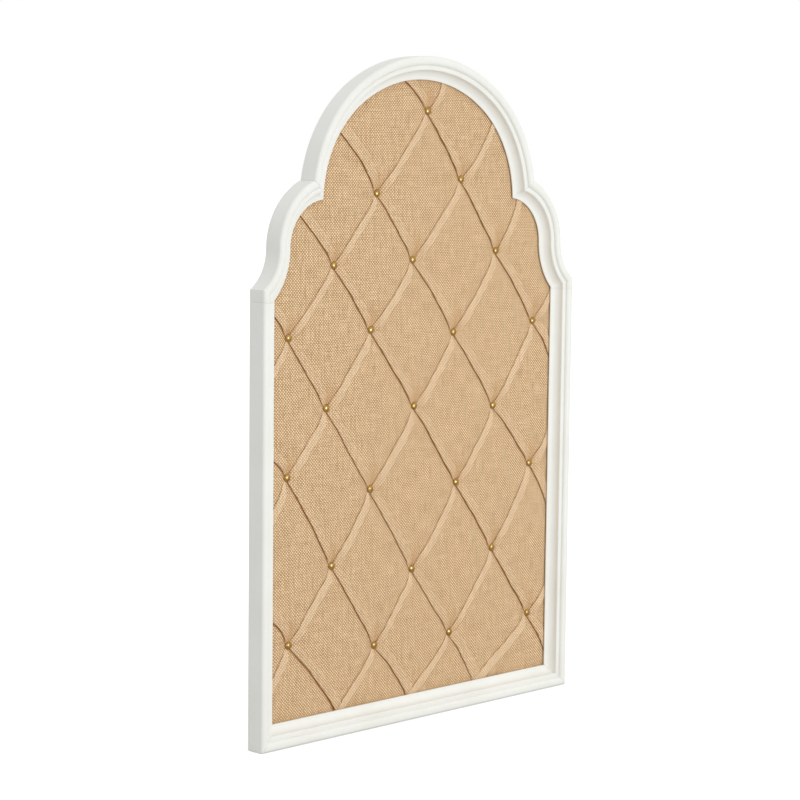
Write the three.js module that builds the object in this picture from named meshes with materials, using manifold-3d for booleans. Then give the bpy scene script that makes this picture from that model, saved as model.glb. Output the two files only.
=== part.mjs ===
// French memo board: a painted arched moulding around a nailed and pleated burlap pad, on a plywood back
// with two D-ring hangers. Millimetres, +Z up, the face looks along -Y.
import * as THREE from 'three';
import { mergeVertices } from 'three/addons/utils/BufferGeometryUtils.js';
import Module from 'manifold-3d';

const wasm = await Module();
wasm.setup();

// Overall size
const BOARD_WIDTH = 599.4;
const BOARD_HEIGHT = 914.4;

// Outline of the frame's outer edge. The waist lies inside the stile's edge and below the crown, and the
// ogee, the round lobe and the three-centred arch follow above it.
const WAIST_INSET = 27.2;
const WAIST_DROP = 256.4;
const OGEE_RADIUS = 62.4;
const LOBE_RADIUS = 95;
const ARCH_INSET = 84.69;
const ARCH_RISE = 196.85;
const HAUNCH_ANGLE = THREE.MathUtils.degToRad(33.6);

// Moulding section, from the outer edge inwards: roll, quirk, bead, cove and sight lip, with one rabbet
// behind the lip for the pad and a shallower one across the back for the panel
const MOULDING_WIDTH = 31.5;
const MOULDING_DEPTH = 29;
const ROLL_WIDTH = 11;
const ROLL_CREST = 5;
const ROLL_RISE = 4.4;
const ROLL_FALL = 3.4;
const QUIRK_WIDTH = 0.4;
const BEAD_WIDTH = 7;
const BEAD_RISE = 0.6;
const BEAD_SETBACK = 2.6;
const FILLET_WIDTH = 0.7;
const FILLET_DEPTH = 4.6;
const LIP_DEPTH = 16;
const LIP_WIDTH = 2;
const LIP_THICKNESS = 2;
const RABBET_WIDTH = 7.5;
const BACK_RABBET_DEPTH = 2.6;

// Joints of the frame
const JOINT_GAP = 0.3;
const SEAM_DROP = 2;
const BISCUIT_LENGTH = 14;
const BISCUIT_SPAN = 12;
const BISCUIT_THICKNESS = 4;
const BISCUIT_INSET = 12;
const BISCUIT_DEPTH = 17;
const BISCUIT_CLEARANCE = 0.2;

// Padded panel
const PANEL_THICKNESS = 5;
const PANEL_INSET = 7.5;
const PANEL_EDGE_GAP = 0.4;
const SEAT_GAP = 0.3;
const PAD_EDGE_GAP = 0.6;
const COVER_THICKNESS = 1;
const PLEAT_DEPTH = 2.2;
const DIMPLE_DEPTH = 4.4;
const PLEAT_SHARE = 0.12;

// Brass nails, in rows that stand off the sight edge by these margins
const NAIL_SIDE_MARGIN = 30.6;
const NAIL_TOP_MARGIN = 34.9;
const NAIL_BOTTOM_MARGIN = 88.5;
const NAIL_HEAD_RADIUS = 5.5;
const NAIL_DOME_HEIGHT = 2.9;
const NAIL_RIM = 0.4;
const NAIL_SHANK_RADIUS = 0.9;
const NAIL_BITE = 3.6;
const NAIL_CLEARANCE = 0.3;

// Each row lists its nails by half pitches from the middle, and how far each strays [across, up]
const NAIL_ROWS = [
  [{ column: 0, stray: [14, -7] }],
  [{ column: -1, stray: [-2, -15] }, { column: 1, stray: [2, 4] }],
  [{ column: -2, stray: [-1, -6] }, { column: 0, stray: [-12, -2] }, { column: 2, stray: [-4, 7] }],
  [{ column: -3, stray: [-2, 5] }, { column: -1, stray: [-11, 9] },
    { column: 1, stray: [-9, -1] }, { column: 3, stray: [-3, 8] }],
  [{ column: -2, stray: [-13, 12] }, { column: 0, stray: [-6, 4] }, { column: 2, stray: [-5, -6] }],
  [{ column: -3, stray: [-3, 29] }, { column: -1, stray: [-10, 0] },
    { column: 1, stray: [0, -6] }, { column: 3, stray: [-5, 8] }],
  [{ column: -2, stray: [-1, 6] }, { column: 0, stray: [-7, -16] }, { column: 2, stray: [-3, -4] }],
  [{ column: -3, stray: [1, 12] }, { column: -1, stray: [1, -10] },
    { column: 1, stray: [-10, -12] }, { column: 3, stray: [-4, -6] }],
];

// Screws
const SCREW_SHANK_RADIUS = 1.5;
const SCREW_HEAD_RADIUS = 3.4;
const SCREW_HEAD_HEIGHT = 1.9;
const SCREW_LENGTH = 16;
const SCREW_CLEARANCE = 0.3;
const LOW_SCREW_HEIGHT = 110;
const HIGH_SCREW_DROP = 170;
const RAIL_SCREW_INSET = 149.7;
const CROWN_SCREW_ANGLE = THREE.MathUtils.degToRad(24);

// D-ring hangers and wall bumpers
const HANGER_INSET = 19;
const HANGER_DROP = 50;
const STRAP_WIDTH = 10;
const STRAP_LENGTH = 34;
const STRAP_THICKNESS = 0.9;
const STRAP_SCREW_DROP = 26;
const WIRE_RADIUS = 0.85;
const WIRE_CLEARANCE = 0.3;
const RING_BAR = 18;
const RING_DROP = 15;
const RING_BEND = 4;
const RING_END_GAP = 0.5;
const BUMPER_RADIUS = 7;
const BUMPER_THICKNESS = 4.2;
const BUMPER_INSET = 20;
const BUMPER_EDGE = 0.8;

// Depths measured back from the face
const PANEL_FACE = MOULDING_DEPTH - BACK_RABBET_DEPTH;
const PANEL_BACK = PANEL_FACE + PANEL_THICKNESS;
const LIP_BACK = LIP_DEPTH + LIP_THICKNESS;
const PAD_FACE = LIP_BACK + PAD_EDGE_GAP;
const OVERALL_DEPTH = PANEL_BACK + BUMPER_THICKNESS;

// Facets
const ARC_STEP = THREE.MathUtils.degToRad(6.5);
const PAD_ARC_STEP = THREE.MathUtils.degToRad(14);
const SECTION_DIVISIONS = 3;
const NAIL_FACETS = 10;
const SCREW_FACETS = 8;
const HOLE_FACETS = 4;
const RING_STEPS = 30;
const RING_FACETS = 8;
const EYE_SEGMENTS = 8;
const BUMPER_FACETS = 16;

// Materials
const paint = new THREE.MeshStandardMaterial({ color: 0xf0eee8, roughness: 0.55, metalness: 0 });
const beech = new THREE.MeshStandardMaterial({ color: 0xc9a877, roughness: 0.8, metalness: 0 });
const plywood = new THREE.MeshStandardMaterial({ color: 0xb98f5f, roughness: 0.8, metalness: 0 });
const burlap = new THREE.MeshStandardMaterial({ color: 0xcbaa7f, roughness: 0.95, metalness: 0 });
const foam = new THREE.MeshStandardMaterial({ color: 0xe9e2cf, roughness: 0.95, metalness: 0 });
const brass = new THREE.MeshStandardMaterial({ color: 0xb08a3e, roughness: 0.3, metalness: 1 });
const zinc = new THREE.MeshStandardMaterial({ color: 0xb9bbbd, roughness: 0.35, metalness: 1 });
const felt = new THREE.MeshStandardMaterial({ color: 0x5d5a56, roughness: 0.95, metalness: 0 });

// The board is drawn behind its face plane with its foot at z = 0. The group puts its middle at the origin.
const board = new THREE.Group();
board.position.set(0, -OVERALL_DEPTH / 2, -BOARD_HEIGHT / 2);

function addPiece(name, geometry, material) {
  const mesh = new THREE.Mesh(geometry, material);
  mesh.name = name;
  board.add(mesh);
  return mesh;
}

// Solids for joining and cutting
function toSolid(geometry) {
  const bare = geometry.clone();
  bare.deleteAttribute('normal');
  bare.deleteAttribute('uv');
  const merged = mergeVertices(bare, 1e-4);
  return new wasm.Manifold(new wasm.Mesh({
    numProp: 3,
    vertProperties: new Float32Array(merged.attributes.position.array),
    triVerts: new Uint32Array(merged.index.array),
  }));
}

function toGeometry(solid) {
  const mesh = solid.getMesh();
  const geometry = new THREE.BufferGeometry();
  geometry.setAttribute('position', new THREE.BufferAttribute(mesh.vertProperties, 3));
  geometry.setIndex(new THREE.BufferAttribute(mesh.triVerts, 1));
  geometry.computeVertexNormals();
  return geometry;
}

function cutFrom(geometry, cutters) {
  let solid = toSolid(geometry);
  for (const cutter of cutters) {
    solid = solid.subtract(toSolid(cutter));
  }
  return toGeometry(solid);
}

// A closed mesh from points and triangles, turned so that its faces point out
function closedGeometry(points, triangles) {
  const corner = [0, 1, 2].map(() => new THREE.Vector3());
  let volume = 0;
  for (const triangle of triangles) {
    triangle.forEach((k, n) => corner[n].fromArray(points[k]));
    volume += corner[0].dot(corner[1].cross(corner[2]));
  }
  const turned = volume < 0 ? triangles.map(([a, b, c]) => [a, c, b]) : triangles;
  const geometry = new THREE.BufferGeometry();
  geometry.setAttribute('position', new THREE.Float32BufferAttribute(points.flat(), 3));
  geometry.setIndex(turned.flat());
  geometry.computeVertexNormals();
  return geometry;
}

const inThrees = (list) =>
  Array.from({ length: list.length / 3 }, (_, k) => Array.from(list.slice(3 * k, 3 * k + 3)));

// A turned solid about the depth axis from [radius, depth] points that start and end on the axis
function turned(profile, facets) {
  const lathe = new THREE.LatheGeometry(profile.map(([r, y]) => new THREE.Vector2(r, y)), facets);
  lathe.deleteAttribute('normal');
  lathe.deleteAttribute('uv');
  const merged = mergeVertices(lathe, 1e-4);
  const points = inThrees(merged.attributes.position.array);
  const triangles = inThrees(merged.index.array).filter((triangle) => new Set(triangle).size === 3);
  return closedGeometry(points, triangles);
}

// Outline, right half. Every place is given for an edge that lies d inside the outer edge, so the same
// lines and arcs serve the moulding's section, the pad and the panel.
const waist = new THREE.Vector2(BOARD_WIDTH / 2 - WAIST_INSET, BOARD_HEIGHT - WAIST_DROP);
const ogeeCentre = new THREE.Vector2(waist.x + OGEE_RADIUS, waist.y);
const lobeCentre = new THREE.Vector2(waist.x - LOBE_RADIUS, waist.y);

// Three-centred arch: the crown and haunch arcs share a tangent at the haunch angle, and their radii
// follow from the arch's half span and its rise above the haunch centres.
const archHalfSpan = BOARD_WIDTH / 2 - ARCH_INSET;
const tangentAim = new THREE.Vector2(Math.sin(HAUNCH_ANGLE), Math.cos(HAUNCH_ANGLE));
const centreShift = (archHalfSpan - ARCH_RISE) / (tangentAim.x + tangentAim.y - 1);
const crownRadius = ARCH_RISE + centreShift * tangentAim.y;
const haunchRadius = archHalfSpan - centreShift * tangentAim.x;
const crownCentre = new THREE.Vector2(0, BOARD_HEIGHT - crownRadius);
const haunchCentre = crownCentre.clone().addScaledVector(tangentAim, centreShift);

const around = (centre, radius, angle) => [
  centre.x + radius * Math.cos(angle),
  centre.y + radius * Math.sin(angle),
];

// Where the lobe's circle meets the haunch's circle, on the outer side
function cuspPlace(d) {
  const lobe = LOBE_RADIUS - d;
  const haunch = haunchRadius - d;
  const between = lobeCentre.clone().sub(haunchCentre);
  const gap = between.length();
  const along = (gap * gap + haunch * haunch - lobe * lobe) / (2 * gap);
  const aside = Math.sqrt(haunch * haunch - along * along);
  const unit = between.divideScalar(gap);
  return new THREE.Vector2(
    haunchCentre.x + along * unit.x - aside * unit.y,
    haunchCentre.y + along * unit.y + aside * unit.x);
}

const ogeeTurn = (d) => Math.acos((ogeeCentre.x - BOARD_WIDTH / 2 + d) / (OGEE_RADIUS + d));
const bearing = (from, to) => Math.atan2(to.y - from.y, to.x - from.x);
const lobeTurn = (d) => bearing(lobeCentre, cuspPlace(d));
const haunchStart = (d) => bearing(haunchCentre, cuspPlace(d));
const haunchEnd = Math.PI / 2 - HAUNCH_ANGLE;

// Places along each stretch, t from 0 to 1 up the right side; trim shortens a stretch at a joint
const ogeeAt = (d, t) => around(ogeeCentre, OGEE_RADIUS + d, Math.PI + ogeeTurn(d) * (1 - t));
const lobeAt = (d, t, trim) => {
  const end = lobeTurn(d) - trim / (LOBE_RADIUS - d);
  return around(lobeCentre, LOBE_RADIUS - d, end * t);
};
const haunchAt = (d, t, trim) => {
  const start = haunchStart(d) + trim / (haunchRadius - d);
  return around(haunchCentre, haunchRadius - d, start + (haunchEnd - start) * t);
};
const crownAt = (d, t) => around(crownCentre, crownRadius - d, haunchEnd + HAUNCH_ANGLE * t);

// Shares of a turn that divide it into steps no longer than the given one
function shares(turn, step, first) {
  const steps = Math.ceil(turn / step);
  return Array.from({ length: steps + 1 - first }, (_, k) => (k + first) / steps);
}
const haunchTurn = haunchEnd - haunchStart(0);

// Closed outline of the whole board, d inside the outer edge
function boardOutline(d, step) {
  const right = [
    [BOARD_WIDTH / 2 - d, d],
    ...shares(ogeeTurn(0), step, 0).map((t) => ogeeAt(d, t)),
    ...shares(lobeTurn(0), step, 1).map((t) => lobeAt(d, t, 0)),
    ...shares(haunchTurn, step, 1).map((t) => haunchAt(d, t, 0)),
    ...shares(HAUNCH_ANGLE, step, 1).map((t) => crownAt(d, t)),
  ];
  const left = right.slice(0, -1).reverse().map(([x, z]) => [-x, z]);
  return [...right, ...left].map(([x, z]) => new THREE.Vector2(x, z));
}

// A slab of an outline between two depths, with round holes through it
function outlineSlab(d, step, front, back, holes) {
  const shape = new THREE.Shape(boardOutline(d, step));
  for (const [x, z, radius] of holes) {
    const hole = new THREE.Path().absarc(x, z, radius, 0, 2 * Math.PI, true);
    shape.holes.push(new THREE.Path(hole.getSpacedPoints(SCREW_FACETS).slice(0, -1)));
  }
  const slab = new THREE.ExtrudeGeometry(shape, { depth: back - front, bevelEnabled: false });
  return slab.rotateX(Math.PI / 2).translate(0, back, 0);
}

// A bar along the depth, from front to back, for holes. Its flats touch a round of the given radius.
function boreAt(x, z, radius, front, back, facets) {
  const corner = radius / Math.cos(Math.PI / facets);
  const bore = new THREE.CylinderGeometry(corner, corner, back - front, facets);
  return bore.translate(x, (front + back) / 2, z);
}

// Moulding section: d inwards from the outer edge, depth back from the face
const beadStart = ROLL_WIDTH + QUIRK_WIDTH;
const beadBase = BEAD_SETBACK + BEAD_RISE;
const coveStart = beadStart + BEAD_WIDTH + FILLET_WIDTH;
const coveEnd = MOULDING_WIDTH - LIP_WIDTH;
const coveWidth = coveEnd - coveStart;
const coveRise = LIP_DEPTH - FILLET_DEPTH;
const sectionPath = new THREE.Path()
  .moveTo(0, MOULDING_DEPTH)
  .lineTo(0, ROLL_RISE)
  .absellipse(ROLL_CREST, ROLL_RISE, ROLL_CREST, ROLL_RISE, Math.PI, Math.PI * 3 / 2, false)
  .absellipse(ROLL_CREST, ROLL_FALL, ROLL_WIDTH - ROLL_CREST, ROLL_FALL, Math.PI * 3 / 2, 2 * Math.PI, false)
  .lineTo(beadStart, beadBase)
  .absellipse(beadStart + BEAD_WIDTH / 2, beadBase, BEAD_WIDTH / 2, BEAD_RISE, Math.PI, 2 * Math.PI, false)
  .lineTo(coveStart, FILLET_DEPTH)
  .absellipse(coveEnd, FILLET_DEPTH, coveWidth, coveRise, Math.PI, Math.PI / 2, true)
  .lineTo(MOULDING_WIDTH, LIP_DEPTH)
  .lineTo(MOULDING_WIDTH, LIP_BACK)
  .lineTo(MOULDING_WIDTH - RABBET_WIDTH, LIP_BACK)
  .lineTo(MOULDING_WIDTH - RABBET_WIDTH, PANEL_FACE)
  .lineTo(PANEL_INSET - PANEL_EDGE_GAP, PANEL_FACE)
  .lineTo(PANEL_INSET - PANEL_EDGE_GAP, MOULDING_DEPTH);
const section = sectionPath.getPoints(SECTION_DIVISIONS)
  .filter((p, k, all) => k === 0 || p.distanceTo(all[k - 1]) > 1e-6);
const sectionFaces = THREE.ShapeUtils.triangulateShape(section, []);

// A length of moulding: each station is a function from d to its place, and side mirrors it to the left
function moulding(stations, side) {
  const count = section.length;
  const points = stations.flatMap((station) => section.map((p) => {
    const [x, z] = station(p.x);
    return [side * x, p.y, z];
  }));
  const triangles = [];
  for (let j = 0; j + 1 < stations.length; j++) {
    for (let i = 0; i < count; i++) {
      const here = j * count + i;
      const next = j * count + (i + 1) % count;
      triangles.push([here, next, next + count], [here, next + count, here + count]);
    }
  }
  const last = (stations.length - 1) * count;
  for (const [a, b, c] of sectionFaces) {
    triangles.push([a, c, b], [a + last, b + last, c + last]);
  }
  return closedGeometry(points, triangles);
}

// Joint places. A mitre's members draw back along their own length, so that JOINT_GAP stays between.
const mitreTrim = JOINT_GAP / Math.SQRT2;
const cuspTrim = JOINT_GAP;
const seamHeight = ogeeAt(MOULDING_WIDTH, 0)[1] - SEAM_DROP;

const stileStations = [
  (d) => [BOARD_WIDTH / 2 - d, d + mitreTrim],
  (d) => [BOARD_WIDTH / 2 - d, seamHeight - JOINT_GAP / 2],
];
const railStations = [
  (d) => [BOARD_WIDTH / 2 - d - mitreTrim, d],
  (d) => [d + mitreTrim - BOARD_WIDTH / 2, d],
];
const shoulderStations = [
  (d) => [BOARD_WIDTH / 2 - d, seamHeight + JOINT_GAP / 2],
  ...shares(ogeeTurn(0), ARC_STEP, 0).map((t) => (d) => ogeeAt(d, t)),
  ...shares(lobeTurn(0), ARC_STEP, 1).map((t) => (d) => lobeAt(d, t, cuspTrim)),
];
const crownHalf = [
  ...shares(haunchTurn, ARC_STEP, 0).map((t) => (d) => haunchAt(d, t, cuspTrim)),
  ...shares(HAUNCH_ANGLE, ARC_STEP, 1).map((t) => (d) => crownAt(d, t)),
];
const mirrored = (station) => (d) => {
  const [x, z] = station(d);
  return [-x, z];
};
const crownStations = [...crownHalf, ...crownHalf.slice(0, -1).reverse().map(mirrored)];

// Biscuits: flat beech pieces across each joint, in pockets cut in both members
const unitBetween = (a, b) => new THREE.Vector2(b[0] - a[0], b[1] - a[1]).normalize();
const cuspOuter = cuspPlace(0).toArray();
const cuspInner = cuspPlace(MOULDING_WIDTH).toArray();
const biscuitJoints = {
  bottom: {
    place: [BOARD_WIDTH / 2 - BISCUIT_INSET, BISCUIT_INSET],
    line: new THREE.Vector2(-1, 1).normalize(),
  },
  seam: { place: [BOARD_WIDTH / 2 - BISCUIT_INSET, seamHeight], line: new THREE.Vector2(-1, 0) },
  cusp: { place: cuspPlace(BISCUIT_INSET).toArray(), line: unitBetween(cuspOuter, cuspInner) },
};

function biscuitAt(joint, side, grow) {
  const box = new THREE.BoxGeometry(
    BISCUIT_LENGTH + 2 * grow, BISCUIT_THICKNESS + 2 * grow, BISCUIT_SPAN + 2 * grow);
  box.rotateY(-joint.line.angle());
  box.translate(joint.place[0], BISCUIT_DEPTH, joint.place[1]);
  return side < 0 ? box.applyMatrix4(new THREE.Matrix4().makeRotationZ(Math.PI))
    .translate(0, 2 * BISCUIT_DEPTH, 0) : box;
}

// Screws: along the middle of the strip where the panel lies on the moulding
const screwInset = (PANEL_INSET + MOULDING_WIDTH - RABBET_WIDTH) / 2;
const stileMiddle = BOARD_WIDTH / 2 - screwInset;
const stileScrews = [LOW_SCREW_HEIGHT, seamHeight - HIGH_SCREW_DROP].map((z) => [stileMiddle, z]);
const railScrew = [BOARD_WIDTH / 2 - RAIL_SCREW_INSET, screwInset];
const shoulderScrew = lobeAt(screwInset, 1 / 2, 0);
const crownScrew = around(crownCentre, crownRadius - screwInset, Math.PI / 2 - CROWN_SCREW_ANGLE);
const hangerPlace = [BOARD_WIDTH / 2 - HANGER_INSET, seamHeight - HANGER_DROP];
const hangerScrew = [hangerPlace[0], hangerPlace[1] - STRAP_SCREW_DROP];
const mirrorPlace = ([x, z]) => [-x, z];
const bothSides = (place) => [mirrorPlace(place), place];
const panelScrews = [...stileScrews, railScrew, shoulderScrew, crownScrew].flatMap(bothSides);

const pilotRadius = SCREW_SHANK_RADIUS + SCREW_CLEARANCE;
const pilotAt = ([x, z]) =>
  boreAt(x, z, pilotRadius, PANEL_BACK - SCREW_LENGTH - SCREW_CLEARANCE, PANEL_BACK, SCREW_FACETS);

// Frame
for (const side of [-1, 1]) {
  const name = side < 0 ? 'left' : 'right';
  const onSide = (place) => (side < 0 ? mirrorPlace(place) : place);
  const pocket = (joint) => biscuitAt(biscuitJoints[joint], side, BISCUIT_CLEARANCE);
  const stilePilots = [...stileScrews, hangerScrew].map((place) => pilotAt(onSide(place)));
  addPiece(`${name}_stile`,
    cutFrom(moulding(stileStations, side), [pocket('bottom'), pocket('seam'), ...stilePilots]), paint);
  addPiece(`${name}_shoulder`,
    cutFrom(moulding(shoulderStations, side),
      [pocket('seam'), pocket('cusp'), pilotAt(onSide(shoulderScrew))]), paint);
  for (const [where, joint] of Object.entries(biscuitJoints)) {
    addPiece(`${name}_${where}_biscuit`, biscuitAt(joint, side, 0), beech);
  }
}
const bothPockets = (joint) =>
  [-1, 1].map((side) => biscuitAt(biscuitJoints[joint], side, BISCUIT_CLEARANCE));
const railCuts = [...bothPockets('bottom'), ...bothSides(railScrew).map(pilotAt)];
const crownCuts = [...bothPockets('cusp'), ...bothSides(crownScrew).map(pilotAt)];
addPiece('bottom_rail', cutFrom(moulding(railStations, 1), railCuts), paint);
addPiece('crown_arch', cutFrom(moulding(crownStations, 1), crownCuts), paint);

// Nail lattice. Columns and rows fill the opening inside the margins.
const openingHalfWidth = BOARD_WIDTH / 2 - MOULDING_WIDTH;
const halfPitch = (openingHalfWidth - NAIL_SIDE_MARGIN) / 3;
const topRow = BOARD_HEIGHT - MOULDING_WIDTH - NAIL_TOP_MARGIN;
const bottomRow = MOULDING_WIDTH + NAIL_BOTTOM_MARGIN;
const rowStep = (topRow - bottomRow) / (NAIL_ROWS.length - 1);
const nails = NAIL_ROWS.flatMap((row, k) => row.map(({ column, stray }) => ({
  column, row: k, place: [column * halfPitch + stray[0], topRow - k * rowStep + stray[1]],
})));

function latticePlace(column, row) {
  const nail = nails.find((n) => n.column === column && n.row === row);
  return nail ? nail.place : [column * halfPitch, topRow - row * rowStep];
}

// Tufted face of the pad on the slanted lattice: u runs down to the right, v down to the left, whole
// numbers are pleats and their crossings are nails. Each diamond is flat inside its pleats.
const LATTICE_REACH = [-3, 7];
const latticeLines = [];
for (let k = LATTICE_REACH[0]; k < LATTICE_REACH[1]; k++) {
  latticeLines.push(k, k + PLEAT_SHARE, k + 1 - PLEAT_SHARE);
}
latticeLines.push(LATTICE_REACH[1]);

function tuftPlace(u, v) {
  const [i, j] = [u, v].map((w) => Math.min(Math.floor(w), LATTICE_REACH[1] - 1));
  const corner = (a, b) => latticePlace(i + a - j - b, i + a + j + b);
  const [s, t] = [u - i, v - j];
  return [0, 1].map((k) =>
    (1 - s) * (1 - t) * corner(0, 0)[k] + s * (1 - t) * corner(1, 0)[k]
    + (1 - s) * t * corner(0, 1)[k] + s * t * corner(1, 1)[k]);
}

function tuftDepth(u, v) {
  const pleats = [u, v].filter(Number.isInteger).length;
  return PAD_FACE + [0, PLEAT_DEPTH, DIMPLE_DEPTH][pleats];
}

// Solid behind the tufted face, sunk by an offset, down to a flat back
function tuftedSlab(sink, back) {
  const size = latticeLines.length;
  const front = latticeLines.flatMap((u) => latticeLines.map((v) => {
    const [x, z] = tuftPlace(u, v);
    return [x, tuftDepth(u, v) + sink, z];
  }));
  const behind = front.map(([x, , z]) => [x, back, z]);
  const triangles = [];
  const quad = (a, b, c, d) => triangles.push([a, b, c], [a, c, d]);
  const under = front.length;
  for (let i = 0; i + 1 < size; i++) {
    for (let j = 0; j + 1 < size; j++) {
      const a = i * size + j;
      const corners = [a, a + 1, a + size + 1, a + size];
      const fall = corners.map((k) => front[k][1]);
      const level = Math.abs(fall[0] - fall[2]) <= Math.abs(fall[1] - fall[3]);
      quad(...(level ? corners : [...corners.slice(1), a]));
      quad(under + a, under + a + size, under + a + size + 1, under + a + 1);
    }
    const last = (size - 1) * size;
    quad(i, under + i, under + i + 1, i + 1);
    quad(last + i, last + i + 1, under + last + i + 1, under + last + i);
    const [low, high] = [i * size, i * size + size - 1];
    quad(low, low + size, under + low + size, under + low);
    quad(high, under + high, under + high + size, high + size);
  }
  return toSolid(closedGeometry([...front, ...behind], triangles));
}

// Pad: foam glued to the panel, the burlap drawn over its face and down its edges
const padInset = MOULDING_WIDTH - RABBET_WIDTH + PAD_EDGE_GAP;
const padBack = PANEL_FACE - SEAT_GAP;
const padSolid = (sink, inset, back) => tuftedSlab(sink, back)
  .intersect(toSolid(outlineSlab(inset, PAD_ARC_STEP, 0, back, [])));
const shankBores = nails.map(({ place: [x, z] }) =>
  boreAt(x, z, NAIL_SHANK_RADIUS + NAIL_CLEARANCE, PAD_FACE, PANEL_FACE, HOLE_FACETS));
const pierced = (solid) => shankBores.reduce((rest, bore) => rest.subtract(toSolid(bore)), solid);
const insideCover = COVER_THICKNESS + SEAT_GAP;
addPiece('burlap_cover',
  toGeometry(pierced(padSolid(0, padInset, padBack)
    .subtract(padSolid(COVER_THICKNESS, padInset + COVER_THICKNESS, PANEL_FACE)))), burlap);
addPiece('foam_pad', toGeometry(pierced(padSolid(insideCover, padInset + insideCover, padBack))), foam);

// Plywood panel, with through holes for the screws and blind holes for the nails
const screwHoles = [...panelScrews, ...bothSides(hangerScrew)].map(([x, z]) => [x, z, pilotRadius]);
const nailTip = PANEL_FACE + NAIL_BITE;
const nailHoles = nails.map(({ place: [x, z] }) =>
  boreAt(x, z, NAIL_SHANK_RADIUS + NAIL_CLEARANCE, PAD_FACE, nailTip + NAIL_CLEARANCE, HOLE_FACETS));
const sheet = outlineSlab(PANEL_INSET, ARC_STEP, PANEL_FACE + SEAT_GAP / 3, PANEL_BACK, screwHoles);
addPiece('back_panel', cutFrom(sheet, nailHoles), plywood);

// Domed nails. The rim sits on the burlap around its dimple.
const dimpleRun = PLEAT_SHARE * 2 * halfPitch;
const rimDepth = PAD_FACE + DIMPLE_DEPTH * (1 - NAIL_HEAD_RADIUS / dimpleRun) - SEAT_GAP;
const nailProfile = [
  [0, nailTip],
  [NAIL_SHANK_RADIUS, nailTip - 2 * NAIL_SHANK_RADIUS],
  [NAIL_SHANK_RADIUS, rimDepth],
  [NAIL_HEAD_RADIUS, rimDepth],
  [NAIL_HEAD_RADIUS, rimDepth - NAIL_RIM],
  ...[30, 60].map(THREE.MathUtils.degToRad).map((angle) => [
    NAIL_HEAD_RADIUS * Math.cos(angle),
    rimDepth - NAIL_RIM - NAIL_DOME_HEIGHT * Math.sin(angle),
  ]),
  [0, rimDepth - NAIL_RIM - NAIL_DOME_HEIGHT],
];
nails.forEach(({ place: [x, z] }, k) => {
  const nail = turned(nailProfile, NAIL_FACETS);
  addPiece(`nail_${String(k + 1).padStart(2, '0')}`, nail.translate(x, 0, z), brass);
});

// Pan-head screws. The head bears on the surface at the given depth.
function screwGeometry([x, z], bearing) {
  const tip = PANEL_BACK - SCREW_LENGTH;
  const face = bearing + SCREW_CLEARANCE;
  const profile = [
    [0, tip],
    [SCREW_SHANK_RADIUS, tip + 2 * SCREW_SHANK_RADIUS],
    [SCREW_SHANK_RADIUS, face],
    [SCREW_HEAD_RADIUS, face],
    [SCREW_HEAD_RADIUS, face + SCREW_HEAD_HEIGHT / 2],
    [SCREW_HEAD_RADIUS / 2, face + SCREW_HEAD_HEIGHT],
    [0, face + SCREW_HEAD_HEIGHT],
  ];
  return turned(profile, SCREW_FACETS).translate(x, 0, z);
}
panelScrews.forEach((place, k) => {
  addPiece(`panel_screw_${String(k + 1).padStart(2, '0')}`, screwGeometry(place, PANEL_BACK), zinc);
});

// Hanger strap: a plate rolled into an eye at its upper end, drawn in the plane of height and depth
const eyeRadius = WIRE_RADIUS + WIRE_CLEARANCE;
const eyeOuter = eyeRadius + STRAP_THICKNESS;
function strapGeometry() {
  const shape = new THREE.Shape()
    .moveTo(-STRAP_LENGTH, 0)
    .lineTo(-STRAP_LENGTH, STRAP_THICKNESS)
    .lineTo(-eyeOuter, STRAP_THICKNESS)
    .absarc(0, eyeOuter, eyeOuter, Math.PI, -Math.PI / 2, true);
  shape.holes.push(new THREE.Path().absarc(0, eyeOuter, eyeRadius, 0, 2 * Math.PI, false));
  const strap = new THREE.ExtrudeGeometry(shape,
    { depth: STRAP_WIDTH, bevelEnabled: false, curveSegments: EYE_SEGMENTS });
  // drawn height becomes +Z, drawn depth +Y, and the width runs along X
  strap.applyMatrix4(new THREE.Matrix4().makeBasis(
    new THREE.Vector3(0, 0, 1), new THREE.Vector3(0, 1, 0), new THREE.Vector3(-1, 0, 0)));
  return strap.translate(STRAP_WIDTH / 2, 0, 0);
}

// D-ring: bent wire whose ends butt in the middle of its bar, hanging down from the eye
class RingPath extends THREE.CurvePath {
  constructor() {
    super();
    const half = RING_BAR / 2;
    const point = (x, z) => new THREE.Vector3(x, 0, z);
    const line = (a, b) => this.add(new THREE.LineCurve3(a, b));
    const bend = (a, b, c) => this.add(new THREE.QuadraticBezierCurve3(a, b, c));
    line(point(RING_END_GAP / 2, 0), point(half - RING_BEND, 0));
    bend(point(half - RING_BEND, 0), point(half, 0), point(half, -RING_BEND));
    this.add(new THREE.CubicBezierCurve3(
      point(half, -RING_BEND), point(half, -RING_DROP * 4 / 3 + RING_BEND / 3),
      point(-half, -RING_DROP * 4 / 3 + RING_BEND / 3), point(-half, -RING_BEND)));
    bend(point(-half, -RING_BEND), point(-half, 0), point(RING_BEND - half, 0));
    line(point(RING_BEND - half, 0), point(-RING_END_GAP / 2, 0));
  }
}
function ringGeometry() {
  const wire = new THREE.Shape(new THREE.Path().absarc(0, 0, WIRE_RADIUS, 0, 2 * Math.PI, false)
    .getSpacedPoints(RING_FACETS).slice(0, -1));
  return new THREE.ExtrudeGeometry(wire, { steps: RING_STEPS, extrudePath: new RingPath() });
}

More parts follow.
